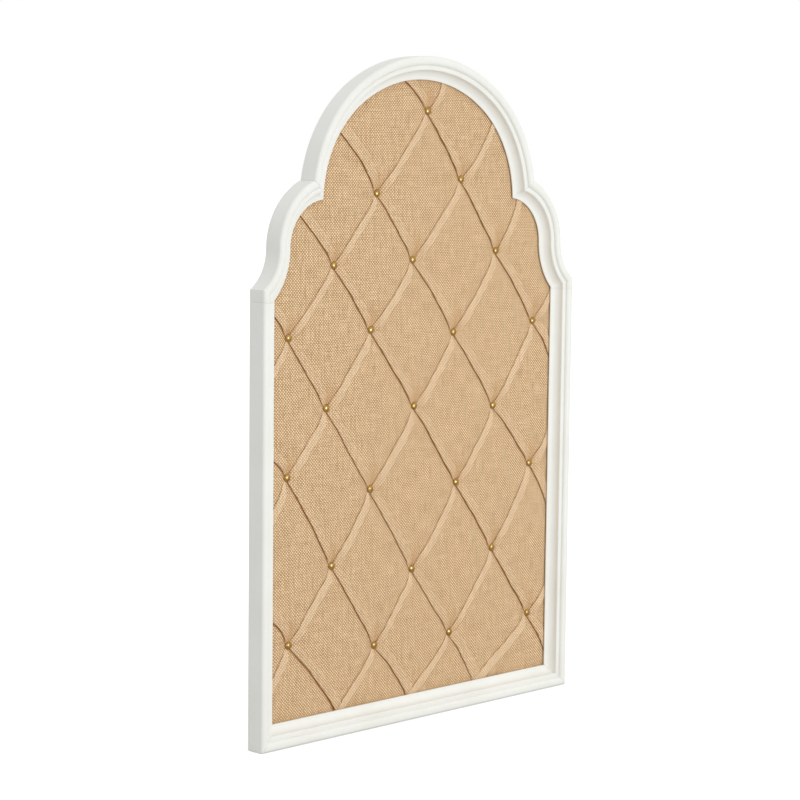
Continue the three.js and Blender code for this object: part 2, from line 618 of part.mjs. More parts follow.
for (const side of [-1, 1]) {
  const name = side < 0 ? 'left' : 'right';
  const [x, z] = side < 0 ? mirrorPlace(hangerPlace) : hangerPlace;
  const strapBack = PANEL_BACK + SEAT_GAP / 3;
  const strap = strapGeometry().translate(x, strapBack, z);
  const strapScrew = [x, z - STRAP_SCREW_DROP];
  const holeEnd = strapBack + 2 * STRAP_THICKNESS;
  const strapHole = boreAt(...strapScrew, pilotRadius, PANEL_BACK, holeEnd, SCREW_FACETS);
  addPiece(`${name}_hanger_strap`, cutFrom(strap, [strapHole]), zinc);
  addPiece(`${name}_hanger_ring`, ringGeometry().translate(x, strapBack + eyeOuter, z), zinc);
  addPiece(`${name}_hanger_screw`, screwGeometry(strapScrew, strapBack + STRAP_THICKNESS), zinc);

  const bumperProfile = [
    [0, PANEL_BACK + SEAT_GAP / 3],
    [BUMPER_RADIUS, PANEL_BACK + SEAT_GAP / 3],
    [BUMPER_RADIUS, PANEL_BACK + BUMPER_THICKNESS - BUMPER_EDGE],
    [BUMPER_RADIUS - BUMPER_EDGE, PANEL_BACK + BUMPER_THICKNESS],
    [0, PANEL_BACK + BUMPER_THICKNESS],
  ];
  const bumper = turned(bumperProfile, BUMPER_FACETS);
  const bumperAcross = side * (BOARD_WIDTH / 2 - BUMPER_INSET);
  addPiece(`${name}_bumper`, bumper.translate(bumperAcross, 0, BUMPER_INSET), felt);
}

export default board;
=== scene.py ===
import math

import bpy
import numpy as np
from mathutils import Matrix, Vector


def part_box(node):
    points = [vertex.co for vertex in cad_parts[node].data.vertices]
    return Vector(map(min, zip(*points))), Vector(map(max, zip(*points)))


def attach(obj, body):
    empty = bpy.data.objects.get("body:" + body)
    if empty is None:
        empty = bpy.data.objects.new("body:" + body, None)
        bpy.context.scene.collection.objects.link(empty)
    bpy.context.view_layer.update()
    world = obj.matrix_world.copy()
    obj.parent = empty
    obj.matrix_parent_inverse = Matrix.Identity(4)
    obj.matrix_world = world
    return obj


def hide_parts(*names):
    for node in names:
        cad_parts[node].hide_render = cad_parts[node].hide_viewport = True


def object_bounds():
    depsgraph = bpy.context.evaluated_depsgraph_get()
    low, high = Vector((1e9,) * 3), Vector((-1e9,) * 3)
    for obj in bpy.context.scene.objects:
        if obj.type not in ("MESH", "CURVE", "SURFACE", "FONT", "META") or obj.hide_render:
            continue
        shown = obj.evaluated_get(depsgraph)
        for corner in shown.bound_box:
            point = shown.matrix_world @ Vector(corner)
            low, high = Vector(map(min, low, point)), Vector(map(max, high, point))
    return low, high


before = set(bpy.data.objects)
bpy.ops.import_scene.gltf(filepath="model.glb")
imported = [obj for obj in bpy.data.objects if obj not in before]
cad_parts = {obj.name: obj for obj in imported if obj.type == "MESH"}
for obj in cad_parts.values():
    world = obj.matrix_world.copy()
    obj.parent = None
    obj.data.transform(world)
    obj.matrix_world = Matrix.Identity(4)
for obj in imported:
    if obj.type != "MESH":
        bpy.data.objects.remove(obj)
cad_box = [list(corner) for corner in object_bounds()]

# Studio: a plain pale floor under the board's foot, an even white surround, one big soft lamp in front at
# mid height, a little to the right, and the camera about three metres off to the left and a little above.
FLOOR_REACH = 40.0
FLOOR_DROP = 0.0005
FLOOR_GLOW, SURROUND_GLOW = 0.45, 0.87
CAMERA_PLACE = (-2.2292, -2.2198, 0.3222)
CAMERA_YAW, CAMERA_PITCH, CAMERA_ROLL = (math.radians(a) for a in (44.6465, 6.0894, 0.6404))
LENS_LENGTH = 103.0
LAMP_PLACE, LAMP_SIZE, LAMP_POWER = (0.50, -2.90, 0.10), 1.1, 26.5


def set_inputs(tree, node, inputs):
    """Sets a node's inputs to values, or links them to other nodes' outputs."""
    for key, value in inputs.items():
        if isinstance(value, bpy.types.NodeSocket):
            tree.links.new(value, node.inputs[key])
        else:
            node.inputs[key].default_value = value


def add_node(tree, kind, inputs=None, **settings):
    """A shader node with its settings and its inputs."""
    node = tree.nodes.new(kind)
    for key, value in settings.items():
        setattr(node, key, value)
    set_inputs(tree, node, inputs or {})
    return node


def display(red, green, blue):
    """A colour read off a screen out of 255, made linear: ((v + 0.055) / 1.055) to the power 2.4."""
    value = np.array([red, green, blue]) / 255
    return (*((value + 0.055) / 1.055) ** 2.4, 1.0)


def new_finish(name):
    """A material with nothing but its shader, and that shader's node tree."""
    material = bpy.data.materials.new(name)
    material.use_nodes = True
    return material, material.node_tree, material.node_tree.nodes["Principled BSDF"]


floor_mesh = bpy.data.meshes.new("floor")
floor_mesh.from_pydata(
    [(x * FLOOR_REACH, y * FLOOR_REACH, cad_box[0][2] - FLOOR_DROP)
     for x, y in ((-1, -1), (1, -1), (1, 1), (-1, 1))], [], [(0, 1, 2, 3)])
floor = bpy.data.objects.new("floor", floor_mesh)
bpy.context.scene.collection.objects.link(floor)
floor_paper, floor_tree, floor_shader = new_finish("floor_paper")
set_inputs(floor_tree, floor_shader, {
    "Base Color": (0.9, 0.9, 0.9, 1), "Roughness": 0.9, "Specular IOR Level": 0.0,
    "Emission Color": (1, 1, 1, 1), "Emission Strength": FLOOR_GLOW})
floor_bounce = add_node(floor_tree, "ShaderNodeBsdfDiffuse", {"Color": (0.6, 0.6, 0.6, 1)})
floor_seen = add_node(floor_tree, "ShaderNodeLightPath")
floor_mix = add_node(floor_tree, "ShaderNodeMixShader", {
    0: floor_seen.outputs["Is Camera Ray"], 1: floor_bounce.outputs[0], 2: floor_shader.outputs[0]})
set_inputs(floor_tree, floor_tree.nodes["Material Output"], {"Surface": floor_mix.outputs[0]})
floor_mesh.materials.append(floor_paper)

surround = bpy.data.worlds.new("studio_surround")
surround.use_nodes = True
bpy.context.scene.world = surround
surround_tree = surround.node_tree
surround_tree.nodes.clear()
glow = add_node(surround_tree, "ShaderNodeBackground", {"Color": (1, 1, 1, 1), "Strength": SURROUND_GLOW})
backdrop = add_node(surround_tree, "ShaderNodeBackground", {"Color": (1, 1, 1, 1), "Strength": 1.0})
seen = add_node(surround_tree, "ShaderNodeLightPath")
shown = add_node(surround_tree, "ShaderNodeMixShader", {
    0: seen.outputs["Is Camera Ray"], 1: glow.outputs[0], 2: backdrop.outputs[0]})
add_node(surround_tree, "ShaderNodeOutputWorld", {"Surface": shown.outputs[0]})

lamp_light = bpy.data.lights.new("soft_lamp", "AREA")
lamp_light.shape, lamp_light.size, lamp_light.energy = "DISK", LAMP_SIZE, LAMP_POWER
lamp = bpy.data.objects.new("soft_lamp", lamp_light)
bpy.context.scene.collection.objects.link(lamp)
lamp.location = LAMP_PLACE
lamp.rotation_euler = (-lamp.location).to_track_quat("-Z", "Y").to_euler()

ahead = np.array([math.sin(CAMERA_YAW) * math.cos(CAMERA_PITCH),
                  math.cos(CAMERA_YAW) * math.cos(CAMERA_PITCH), -math.sin(CAMERA_PITCH)])
level = np.array([math.cos(CAMERA_YAW), -math.sin(CAMERA_YAW), 0.0])
upright = np.cross(level, ahead)
across = math.cos(CAMERA_ROLL) * level + math.sin(CAMERA_ROLL) * upright
above = math.cos(CAMERA_ROLL) * upright - math.sin(CAMERA_ROLL) * level
camera_data = bpy.data.cameras.new("camera")
camera_data.lens, camera_data.sensor_width = LENS_LENGTH, 36.0
camera_data.clip_end = 100.0
camera = bpy.data.objects.new("camera", camera_data)
bpy.context.scene.collection.objects.link(camera)
camera_pose = np.eye(4)
camera_pose[:3, :3] = np.column_stack([across, above, -ahead])
camera_pose[:3, 3] = CAMERA_PLACE
camera.matrix_world = Matrix(camera_pose.tolist())
bpy.context.scene.camera = camera
bpy.context.scene.view_settings.view_transform = "Standard"

# Painted frame: six lengths of solid wood run to one section, a roll, a bead, a cove and a sight lip over a
# rabbet. The foot is mitred, the shoulders butt on the stiles and meet the crown in a cusp; glued, primed
# and brushed with white satin paint that softens the edges and fills the joints unevenly.
HALF_WIDTH = 299.7
OGEE_CENTRE, OGEE_RADIUS = (334.9, 658.0), 62.4
LOBE_CENTRE, LOBE_RADIUS = (177.5, 658.0), 95.0
HAUNCH_CENTRE, HAUNCH_RADIUS = (26.0, 717.55), 189.0
CROWN_CENTRE, CROWN_RADIUS = (0.0, 678.4), 236.0
HAUNCH_END = math.radians(90 - 33.6)
SEAM_HEIGHT, JOINT_GAP, JOINT_EASE = 589.907, 0.12, 0.5
MOULDING_WIDTH, MOULDING_DEPTH, LIP_BACK, RABBET_LINE = 31.5, 29.0, 18.0, 24.0
PANEL_SEAT, PANEL_SEAT_LINE = 26.4, 7.1
STRAIGHT_LENGTH = 560.0
ROLL_TOP, LIP_EDGE, RUB_WIDTH = 5.0, 31.3, 1.6
STROKE_STEP = 3


def in_frame(x, y, z):
    """Millimetres across, behind the face and above the foot, as metres from the middle of the CAD's box."""
    low = np.array(cad_box[0])
    return np.stack(np.broadcast_arrays(x / 1000, y / 1000 + low[1], z / 1000 + low[2]), -1)


def oval_arc(middle, depth, wide, deep, start, end, steps):
    """Part of an ellipse: middle + wide cos a, depth + deep sin a, a from start to end in degrees."""
    turn = np.radians(np.linspace(start, end, steps))
    return np.stack([middle + wide * np.cos(turn), depth + deep * np.sin(turn)], -1)


moulding_section = np.concatenate([
    [[0, 28.4], [0, 22], [0, 15], [0, 9]],
    oval_arc(5.0, 3.8, 5.0, 3.8, 180, 270, 20),
    oval_arc(6.5, 3.6, 5.6, 3.6, 272, 350, 20),
    [[12.15, 3.7], [12.3, 4.35], [12.5, 4.45]],
    oval_arc(15.65, 4.35, 3.15, 0.75, 186, 354, 16),
    [[18.95, 4.5], [19.15, 4.9]],
    oval_arc(29.5, 4.9, 10.2, 11.1, 178, 90, 22),
    [[30.9, 16.02], [31.25, 16.12], [31.45, 16.35], [MOULDING_WIDTH, 16.7], [MOULDING_WIDTH, 17.6],
     [31.2, LIP_BACK], [RABBET_LINE, LIP_BACK], [RABBET_LINE, PANEL_SEAT], [PANEL_SEAT_LINE, PANEL_SEAT],
     [PANEL_SEAT_LINE, MOULDING_DEPTH], [0.6, MOULDING_DEPTH], [0.18, 28.82]],
])
# the ends are drawn in towards the section's middle; the brush is followed along one point of the roll
SECTION_MIDDLE, SECTION_REACH, ROLL_POINT = (15.0, 14.0), 20.0, 30


def on_circle(centre, radius, turn):
    """Centre plus radius times the cosine and sine of the turn."""
    return centre[0] + radius * np.cos(turn), centre[1] + radius * np.sin(turn)


def cusp_place(inset):
    """Outer crossing of the lobe's and the haunch's circles, both drawn in by the inset."""
    lobe, haunch = LOBE_RADIUS - inset, HAUNCH_RADIUS - inset
    reach = np.subtract(LOBE_CENTRE, HAUNCH_CENTRE)
    gap = np.hypot(*reach)
    unit = reach / gap
    along = (gap ** 2 + haunch ** 2 - lobe ** 2) / (2 * gap)
    aside = np.sqrt(haunch ** 2 - along ** 2)
    return (HAUNCH_CENTRE[0] + along * unit[0] - aside * unit[1],
            HAUNCH_CENTRE[1] + along * unit[1] + aside * unit[0])


def stile_line(inset, share):
    """Straight up the side at the inset, from the mitre at the foot to the seam."""
    foot = inset + JOINT_GAP
    return HALF_WIDTH - inset + 0 * share, foot + (SEAM_HEIGHT - JOINT_GAP / 2 - foot) * share


def rail_line(inset, share):
    """Straight along the foot at the inset, from mitre to mitre."""
    reach = HALF_WIDTH - inset - JOINT_GAP
    return reach * (1 - 2 * share), inset + 0 * share


def shoulder_line(inset, share):
    """Share 0 to 1 runs straight up from the seam, 1 to 2 round the hollow ogee, 2 to 3 round the lobe."""
    ogee_turn = np.arccos((OGEE_CENTRE[0] - HALF_WIDTH + inset) / (OGEE_RADIUS + inset))
    ogee = on_circle(OGEE_CENTRE, OGEE_RADIUS + inset, np.pi + ogee_turn * (2 - np.clip(share, 1, 2)))
    cusp = cusp_place(inset)
    lobe_turn = (np.arctan2(cusp[1] - LOBE_CENTRE[1], cusp[0] - LOBE_CENTRE[0])
                 - JOINT_GAP / (LOBE_RADIUS - inset))
    lobe = on_circle(LOBE_CENTRE, LOBE_RADIUS - inset, lobe_turn * (np.clip(share, 2, 3) - 2))
    foot = SEAM_HEIGHT + JOINT_GAP / 2
    ogee_foot = OGEE_CENTRE[1] - (OGEE_RADIUS + inset) * np.sin(ogee_turn)
    x = np.where(share < 1, HALF_WIDTH - inset, np.where(share < 2, ogee[0], lobe[0]))
    z = np.where(share < 1, foot + (ogee_foot - foot) * share, np.where(share < 2, ogee[1], lobe[1]))
    return x, z


def crown_line(inset, share):
    """Share 0 to 1 is the right haunch, 1 to 2 the crown up to its top, and 2 to 4 the same on the left."""
    half = np.minimum(share, 4 - share)
    cusp = cusp_place(inset)
    start = (np.arctan2(cusp[1] - HAUNCH_CENTRE[1], cusp[0] - HAUNCH_CENTRE[0])
             + JOINT_GAP / (HAUNCH_RADIUS - inset))
    haunch = on_circle(HAUNCH_CENTRE, HAUNCH_RADIUS - inset,
                       start + (HAUNCH_END - start) * np.clip(half, 0, 1))
    crown = on_circle(CROWN_CENTRE, CROWN_RADIUS - inset,
                      HAUNCH_END + (np.pi / 2 - HAUNCH_END) * (np.clip(half, 1, 2) - 1))
    x, z = (np.where(half < 1, haunch[k], crown[k]) for k in (0, 1))
    return np.where(share > 2, -x, x), z


def grid_faces(rows, columns, round_columns):
    """Quads between neighbouring rows and columns of a grid; round_columns joins the last to the first."""
    i, j = np.meshgrid(np.arange(rows - 1), np.arange(columns - (not round_columns)), indexing="ij")
    k = (j + 1) % columns
    return np.stack([i * columns + j, i * columns + k, (i + 1) * columns + k, (i + 1) * columns + j],
                    -1).reshape(-1, 4)


def make_piece(name, points, faces, lids=(), sharp=30, closed=True, marks=None):
    """A mesh of the points and faces, with flat lids, turned outwards by the sign of its volume, smooth
    across edges bent less than sharp degrees, and carrying the marks as point attributes."""
    mesh = bpy.data.meshes.new(name)
    points = points.reshape(-1, 3)
    mesh.from_pydata(points.tolist(), [], faces.tolist() + [list(lid) for lid in lids])
    for key, values in (marks or {}).items():
        kind, field = ("FLOAT", "value") if values.ndim == 1 else ("FLOAT_VECTOR", "vector")
        mesh.attributes.new(key, kind, "POINT").data.foreach_set(field, values.ravel().astype(np.float32))
    mesh.validate()
    mesh.calc_loop_triangles()
    corners = np.empty(len(mesh.loop_triangles) * 3, np.int32)
    mesh.loop_triangles.foreach_get("vertices", corners)
    a, b, c = points[corners.reshape(-1, 3)].transpose(1, 0, 2)
    if closed and np.einsum("ij,ij", a, np.cross(b, c)) < 0:
        mesh.flip_normals()
    mesh.shade_smooth()
    mesh.set_sharp_from_angle(angle=math.radians(sharp))
    piece = bpy.data.objects.new(name, mesh)
    bpy.context.scene.collection.objects.link(piece)
    return piece


def dress(piece, material, slot, body, *nodes):
    """Gives a piece its finish and the body that it rides on, and hides the nodes it stands for; the slot is
    not used.
    """
    piece.data.materials.clear()
    piece.data.materials.append(material)
    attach(piece, body)
    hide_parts(*nodes)


def make_tube(name, rings, sharp=30, marks=None):
    """Rings of points joined into one closed skin, with a flat lid on the first and on the last."""
    rows, columns = rings.shape[:2]
    lids = [np.arange(columns), (rows - 1) * columns + np.arange(columns)[::-1]]
    return make_piece(name, rings, grid_faces(rows, columns, True), lids, sharp, marks=marks)


def run_moulding(name, line, shares, side):
    """The section carried along a line: each point keeps its inset and depth, and the section draws in by
    JOINT_EASE at the two ends, so that a joint shows as a fine groove. Its mark is the length run, the girth
    and the nearness to the roll's top or the lip's edge, where the paint is rubbed."""
    inset, depth = moulding_section.T[:, None, :]
    drawn = np.ones((len(shares), 1))
    drawn[[0, -1]] = 1 - JOINT_EASE / SECTION_REACH
    inset = SECTION_MIDDLE[0] + (inset - SECTION_MIDDLE[0]) * drawn
    depth = SECTION_MIDDLE[1] + (depth - SECTION_MIDDLE[1]) * drawn
    x, z = line(inset, shares[:, None])
    points = in_frame(side * x, depth, z)
    run = np.linalg.norm(np.diff(points[:, ROLL_POINT], axis=0), axis=-1)
    girth = np.linalg.norm(np.diff(points[1], axis=0), axis=-1)
    near_edge = np.exp(-(np.minimum(abs(inset - ROLL_TOP), abs(inset - LIP_EDGE)) / RUB_WIDTH) ** 2)
    brushed = np.stack(np.broadcast_arrays(
        np.r_[0, np.cumsum(run)][:, None] + side * STROKE_STEP + shares[-1],
        np.r_[0, np.cumsum(girth)][None, :], near_edge), -1)
    return make_tube(name, points, 24, {"brushed": brushed.reshape(-1, 3)})


def object_place(tree):
    """Where a point lies on its piece, in metres."""
    return add_node(tree, "ShaderNodeTexCoord").outputs["Object"]


def stretched(tree, place, scale):
    """A place stretched by a scale along each axis."""
    return add_node(tree, "ShaderNodeMapping", {"Vector": place, "Scale": scale}).outputs[0]


def mottle(tree, place, scale, detail, roughness, distortion=0.0):
    """Cloudy noise of about one half."""
    return add_node(tree, "ShaderNodeTexNoise", {
        "Vector": place, "Scale": scale, "Detail": detail, "Roughness": roughness,
        "Distortion": distortion}).outputs[0]


def calc(tree, operation, *values):
    """The output of a math node on values or other outputs."""
    return add_node(tree, "ShaderNodeMath", dict(enumerate(values)), operation=operation).outputs[0]


def ranged(tree, value, low, high, start=0.0, end=1.0):
    """A value's range from low to high made a range from start to end."""
    return add_node(tree, "ShaderNodeMapRange", {0: value, 1: low, 2: high, 3: start, 4: end}).outputs[0]


def blended(tree, share, first, second):
    """The colour that lies a share of the way from the first to the second."""
    return add_node(tree, "ShaderNodeMix", {0: share, 6: first, 7: second}, data_type="RGBA").outputs[2]


def relief(tree, height, strength, distance):
    """The surface's tilt under a height that stands a distance tall."""
    return add_node(tree, "ShaderNodeBump", {
        "Strength": strength, "Distance": distance, "Height": height}).outputs[0]


satin_paint, paint_tree, paint_shader = new_finish("satin_paint")
WHITE_PAINT, THIN_PAINT, PRIMER = display(242, 243, 238), display(238, 239, 232), display(226, 217, 199)
stroke = add_node(paint_tree, "ShaderNodeAttribute", attribute_name="brushed").outputs["Vector"]
stroke_edge = add_node(paint_tree, "ShaderNodeSeparateXYZ", {0: stroke}).outputs["Z"]
bristles = mottle(paint_tree, stretched(paint_tree, stroke, (6.0, 900.0, 0.0)), 1.0, 3.0, 0.6)
paint_place = object_place(paint_tree)
patches = ranged(paint_tree, mottle(paint_tree, paint_place, 14.0, 4.0, 0.55), 0.35, 0.7)
coat_tone = blended(paint_tree, patches, WHITE_PAINT, THIN_PAINT)
chips = mottle(paint_tree, paint_place, 95.0, 3.0, 0.5)
worn = ranged(paint_tree, calc(paint_tree, "MULTIPLY", chips, stroke_edge), 0.66, 0.74, 0.0, 0.7)
set_inputs(paint_tree, paint_shader, {
    "Base Color": blended(paint_tree, worn, coat_tone, PRIMER),
    "Roughness": ranged(paint_tree, bristles, 0.3, 0.7, 0.42, 0.56),
    "Normal": relief(paint_tree, bristles, 0.35, 0.0002), "Specular IOR Level": 0.3})

near_end = JOINT_EASE / STRAIGHT_LENGTH
straight_shares = np.r_[0, near_end, np.linspace(near_end, 1 - near_end, 12)[1:-1], 1 - near_end, 1]
shoulder_shares = np.concatenate([
    [0.0, 0.12], np.linspace(1, 2, 36), np.linspace(2, 3, 60)[1:-1], [2.995, 3.0]])
crown_shares = np.concatenate([[0.0, 0.004], np.linspace(0, 4, 181)[1:-1], [3.996, 4.0]])
for side, name in ((-1, "left"), (1, "right")):
    stile = run_moulding(f"{name}_stile_moulding", stile_line, straight_shares, side)
    dress(stile, satin_paint, "painted_wood", "board", f"{name}_stile")
    shoulder = run_moulding(f"{name}_shoulder_moulding", shoulder_line, shoulder_shares, side)
    dress(shoulder, satin_paint, "painted_wood", "board", f"{name}_shoulder")
foot_rail = run_moulding("bottom_rail_moulding", rail_line, straight_shares, 1)
dress(foot_rail, satin_paint, "painted_wood", "board", "bottom_rail")
crown = run_moulding("crown_moulding", crown_line, crown_shares, 1)
dress(crown, satin_paint, "painted_wood", "board", "crown_arch")

# Biscuits: six flat slips of beech glued across the frame's joints, hidden in pockets in both lengths.
# Pressed, with a short straight grain along the slip; the CAD's own solids serve.
BISCUITS = [f"{side}_{joint}_biscuit" for side in ("left", "right") for joint in ("bottom", "seam", "cusp")]


def node_group(name, inputs, outputs):
    """A shader group with its sockets, and what comes in by them."""
    group = bpy.data.node_groups.new(name, "ShaderNodeTree")
    for way, sockets in (("INPUT", inputs), ("OUTPUT", outputs)):
        for label, kind in sockets.items():
            group.interface.new_socket(label, in_out=way, socket_type=f"NodeSocket{kind}")
    return group, add_node(group, "NodeGroupInput").outputs


wood_grain, grain_in = node_group("wood_grain", {
    "Place": "Vector", "Ring spacing": "Float", "Waviness": "Float", "Light": "Color", "Dark": "Color"},
    {"Colour": "Color", "Pores": "Float"})
grain_drift = mottle(wood_grain, stretched(wood_grain, grain_in["Place"], (1.0, 1.0, 0.12)), 9.0, 3.0, 0.5)
grain_push = calc(wood_grain, "MULTIPLY", grain_drift, grain_in["Waviness"])
grain_side = add_node(wood_grain, "ShaderNodeSeparateXYZ", {0: grain_in["Place"]}).outputs["X"]
grain_turn = calc(wood_grain, "DIVIDE", grain_side, grain_in["Ring spacing"])
grain_saw = calc(wood_grain, "FRACT", calc(wood_grain, "ADD", grain_turn, grain_push))
grain_ring = calc(wood_grain, "POWER", grain_saw, 2.2)
pores = mottle(wood_grain, stretched(wood_grain, grain_in["Place"], (1600.0, 1600.0, 60.0)), 1.0, 2.0, 0.6)
grain_share = ranged(wood_grain, calc(wood_grain, "MULTIPLY_ADD", pores, 0.9, grain_ring), 0.25, 1.5)
grain_tone = blended(wood_grain, grain_share, grain_in["Light"], grain_in["Dark"])
add_node(wood_grain, "NodeGroupOutput", {"Colour": grain_tone, "Pores": pores})


def grained(name, spacing, waviness, light, dark):
    """A bare wood finish: the grain group's colour, its pores as roughness and a shallow relief."""
    material, tree, shader = new_finish(name)
    grain = add_node(tree, "ShaderNodeGroup", {
        "Place": object_place(tree), "Ring spacing": spacing, "Waviness": waviness, "Light": light,
        "Dark": dark}, node_tree=wood_grain).outputs
    set_inputs(tree, shader, {
        "Base Color": grain["Colour"], "Roughness": ranged(tree, grain["Pores"], 0.3, 0.7, 0.6, 0.8),
        "Normal": relief(tree, grain["Pores"], 0.4, 0.0003)})
    return material


beech = grained("pressed_beech", 0.0032, 0.8, display(214, 182, 138), display(182, 142, 96))
for name in BISCUITS:
    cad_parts[name].data.materials.clear()
    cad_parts[name].data.materials.append(beech)

# Back panel: a sheet of 5 mm plywood sawn to the frame's outline, 7.5 mm short of the edge all round and
# let in by half its thickness. It carries the pad and the nails, and is screwed to the moulding.
PANEL_INSET, PANEL_FRONT, PANEL_BACK, PANEL_EASE = 7.5, 26.5, 31.4, 0.5


def board_outline(inset, fine):
    """The whole outline at an inset, as one loop of points: foot, right side, crown and left side."""
    share = np.linspace(0, 1, fine)[:, None]
    right = [np.array([[HALF_WIDTH - inset, inset]]),
             np.hstack(shoulder_line(np.array([[inset]]), 1 + 2 * share)),
             np.hstack(crown_line(np.array([[inset]]), 2 * share))[1:]]
    right = np.concatenate(right)
    return np.concatenate([right, (right * [-1, 1])[-2::-1]])


def panel_sheet(name):
    """The outline carried through the sheet's thickness, drawn in by PANEL_EASE at both faces."""
    rings = []
    for ease, depth in ((PANEL_EASE, PANEL_FRONT), (0.0, PANEL_FRONT + PANEL_EASE),
                        (0.0, PANEL_BACK - PANEL_EASE), (PANEL_EASE, PANEL_BACK)):
        across, up = board_outline(PANEL_INSET + ease, 48).T
        rings.append(in_frame(across, depth, up))
    return make_tube(name, np.stack(rings))


plywood = grained("plywood_veneer", 0.011, 6.5, display(216, 184, 140), display(192, 153, 106))
panel = panel_sheet("plywood_panel")
dress(panel, plywood, "plywood", "board", "back_panel")

# Foam pad: a sheet of soft foam glued to the panel, its edge tucked into the rabbet behind the sight lip.
# The nails draw it down into tufts, and the pleats of the cover press shallow furrows between them.
PAD_FACE, PAD_BACK, FOAM_INSET, FOAM_SINK = 18.6, 26.1, 25.9, 1.3
PITCH_HALF, ROW_STEP, TOP_ROW = 79.2, 104.0, 848.0
NAIL_ROWS = ([0], [-1, 1], [-2, 0, 2], [-3, -1, 1, 3],
             [-2, 0, 2], [-3, -1, 1, 3], [-2, 0, 2], [-3, -1, 1, 3])
TUFT_DEPTH, TUFT_REACH = 4.2, 11.0
FURROW_DEPTH, FURROW_REACH = 2.0, 0.11
PUFF_LIMIT, PUFF_PRESSURE, PUFF_STEPS = 1.6, 1.2, 20
FALL_DEPTH, FALL_START, FALL_END = 1.0, 38.0, 29.0
# where the outermost pleats run under the lip, (column, row): (across, up)
PLEAT_ENDS = {
    (-4, 2): (-316.8, 640), (-4, 4): (-316.8, 437), (-4, 6): (-316.8, 235), (-4, 8): (-316.8, 25),
    (4, 2): (316.8, 649), (4, 4): (316.8, 437), (4, 6): (316.8, 204), (4, 8): (316.8, -11),
    (-2, 8): (-149, 33), (0, 8): (-14, 33), (2, 8): (120, 33), (-1, -1): (-79, 930), (1, -1): (79, 940),
    (-2, 0): (-166, 830), (2, 0): (158, 848), (-3, 1): (-237.6, 720), (3, 1): (230, 775)}


def node_box(node):
    """A CAD node's low and high corner, in millimetres across, behind the face and above the foot."""
    return 1000 * (np.array([list(corner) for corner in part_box(node)]) - np.multiply(cad_box[0], [0, 1, 1]))


nail_lattice = np.array([(c, r) for r, columns in enumerate(NAIL_ROWS) for c in columns])
nail_places = np.array([
    node_box(f"nail_{k + 1:02d}").mean(0)[[0, 2]] for k in range(len(nail_lattice))])

# u counts the pleats that rise to the right, v those that fall to the right; u + v is a column, u - v a row
U_FIRST, V_FIRST, CELLS = -2, -6, 8
knot_u, knot_v = np.meshgrid(U_FIRST + np.arange(CELLS + 1), V_FIRST + np.arange(CELLS + 1), indexing="ij")
knots = np.stack([PITCH_HALF * (knot_u + knot_v), TOP_ROW - ROW_STEP * (knot_u - knot_v)], -1).astype(float)
nailed = np.zeros(knot_u.shape, bool)
set_lattice = np.concatenate([nail_lattice, np.array(list(PLEAT_ENDS))])
set_u, set_v = (set_lattice.sum(1) // 2 - U_FIRST, (set_lattice[:, 0] - set_lattice[:, 1]) // 2 - V_FIRST)
knots[set_u, set_v] = np.concatenate([nail_places, np.array(list(PLEAT_ENDS.values()), float)])
nailed[set_u[:len(nail_lattice)], set_v[:len(nail_lattice)]] = True


def lattice_place(cell_u, cell_v, part_u, part_v):
    """Across and up inside a diamond: the four corners weighed by the parts of the way along its sides."""
    weigh = lambda du, dv, share: knots[cell_u + du, cell_v + dv] * share[..., None]
    return (weigh(0, 0, (1 - part_u) * (1 - part_v)) + weigh(1, 0, part_u * (1 - part_v))
            + weigh(0, 1, (1 - part_u) * part_v) + weigh(1, 1, part_u * part_v))


def inside_by(place):
    """How far a place lies inside the board's outer edge: from the straight sides, foot and ogee up to the
    waist, and above it from the lobe or the arch, whichever holds it deeper."""
    x, z = abs(place[..., 0]), place[..., 1]
    away = lambda centre: np.hypot(x - centre[0], z - centre[1])
    low = np.minimum(np.minimum(HALF_WIDTH - x, z), away(OGEE_CENTRE) - OGEE_RADIUS)
    turn = np.arctan2(z - CROWN_CENTRE[1], x)
    arch = np.where(turn > HAUNCH_END, CROWN_RADIUS - away(CROWN_CENTRE), HAUNCH_RADIUS - away(HAUNCH_CENTRE))
    high = np.maximum(LOBE_RADIUS - away(LOBE_CENTRE), arch)
    return np.where(z < OGEE_CENTRE[1], low, high)


def brought_inside(place, inset):
    """Places outside the inset line are moved onto it, along the way in which the distance grows."""
    for _ in range(3):
        step = 0.05
        slope = np.stack([inside_by(place + [step, 0]) - inside_by(place - [step, 0]),
                          inside_by(place + [0, step]) - inside_by(place - [0, step])], -1) / (2 * step)
        slope /= np.maximum(np.linalg.norm(slope, axis=-1, keepdims=True), 1e-6)
        place = place + slope * np.maximum(inset - inside_by(place), 0)[..., None]
    return place


def eased(value):
    """0 up to 0, 1 from 1, and 3 v squared less 2 v cubed between."""
    value = np.clip(value, 0, 1)
    return value * value * (3 - 2 * value)


def towards_edge(place, start, end):
    """Eased from 0 at the start line to 1 at the end line, both counted inwards from the outer edge."""
    return eased((start - inside_by(place)) / (start - end))


def tuft_fall(place):
    """Depth drawn down by the nails, TUFT_DEPTH exp(-(r / TUFT_REACH) to the power 1.6) round each, and the
    fall of the pad's border under the lip."""
    away = np.linalg.norm(place[..., None, :] - nail_places, axis=-1)
    fall = TUFT_DEPTH * np.exp(-(away / TUFT_REACH) ** 1.6).max(-1)
    return fall + FALL_DEPTH * towards_edge(place, FALL_START, FALL_END)


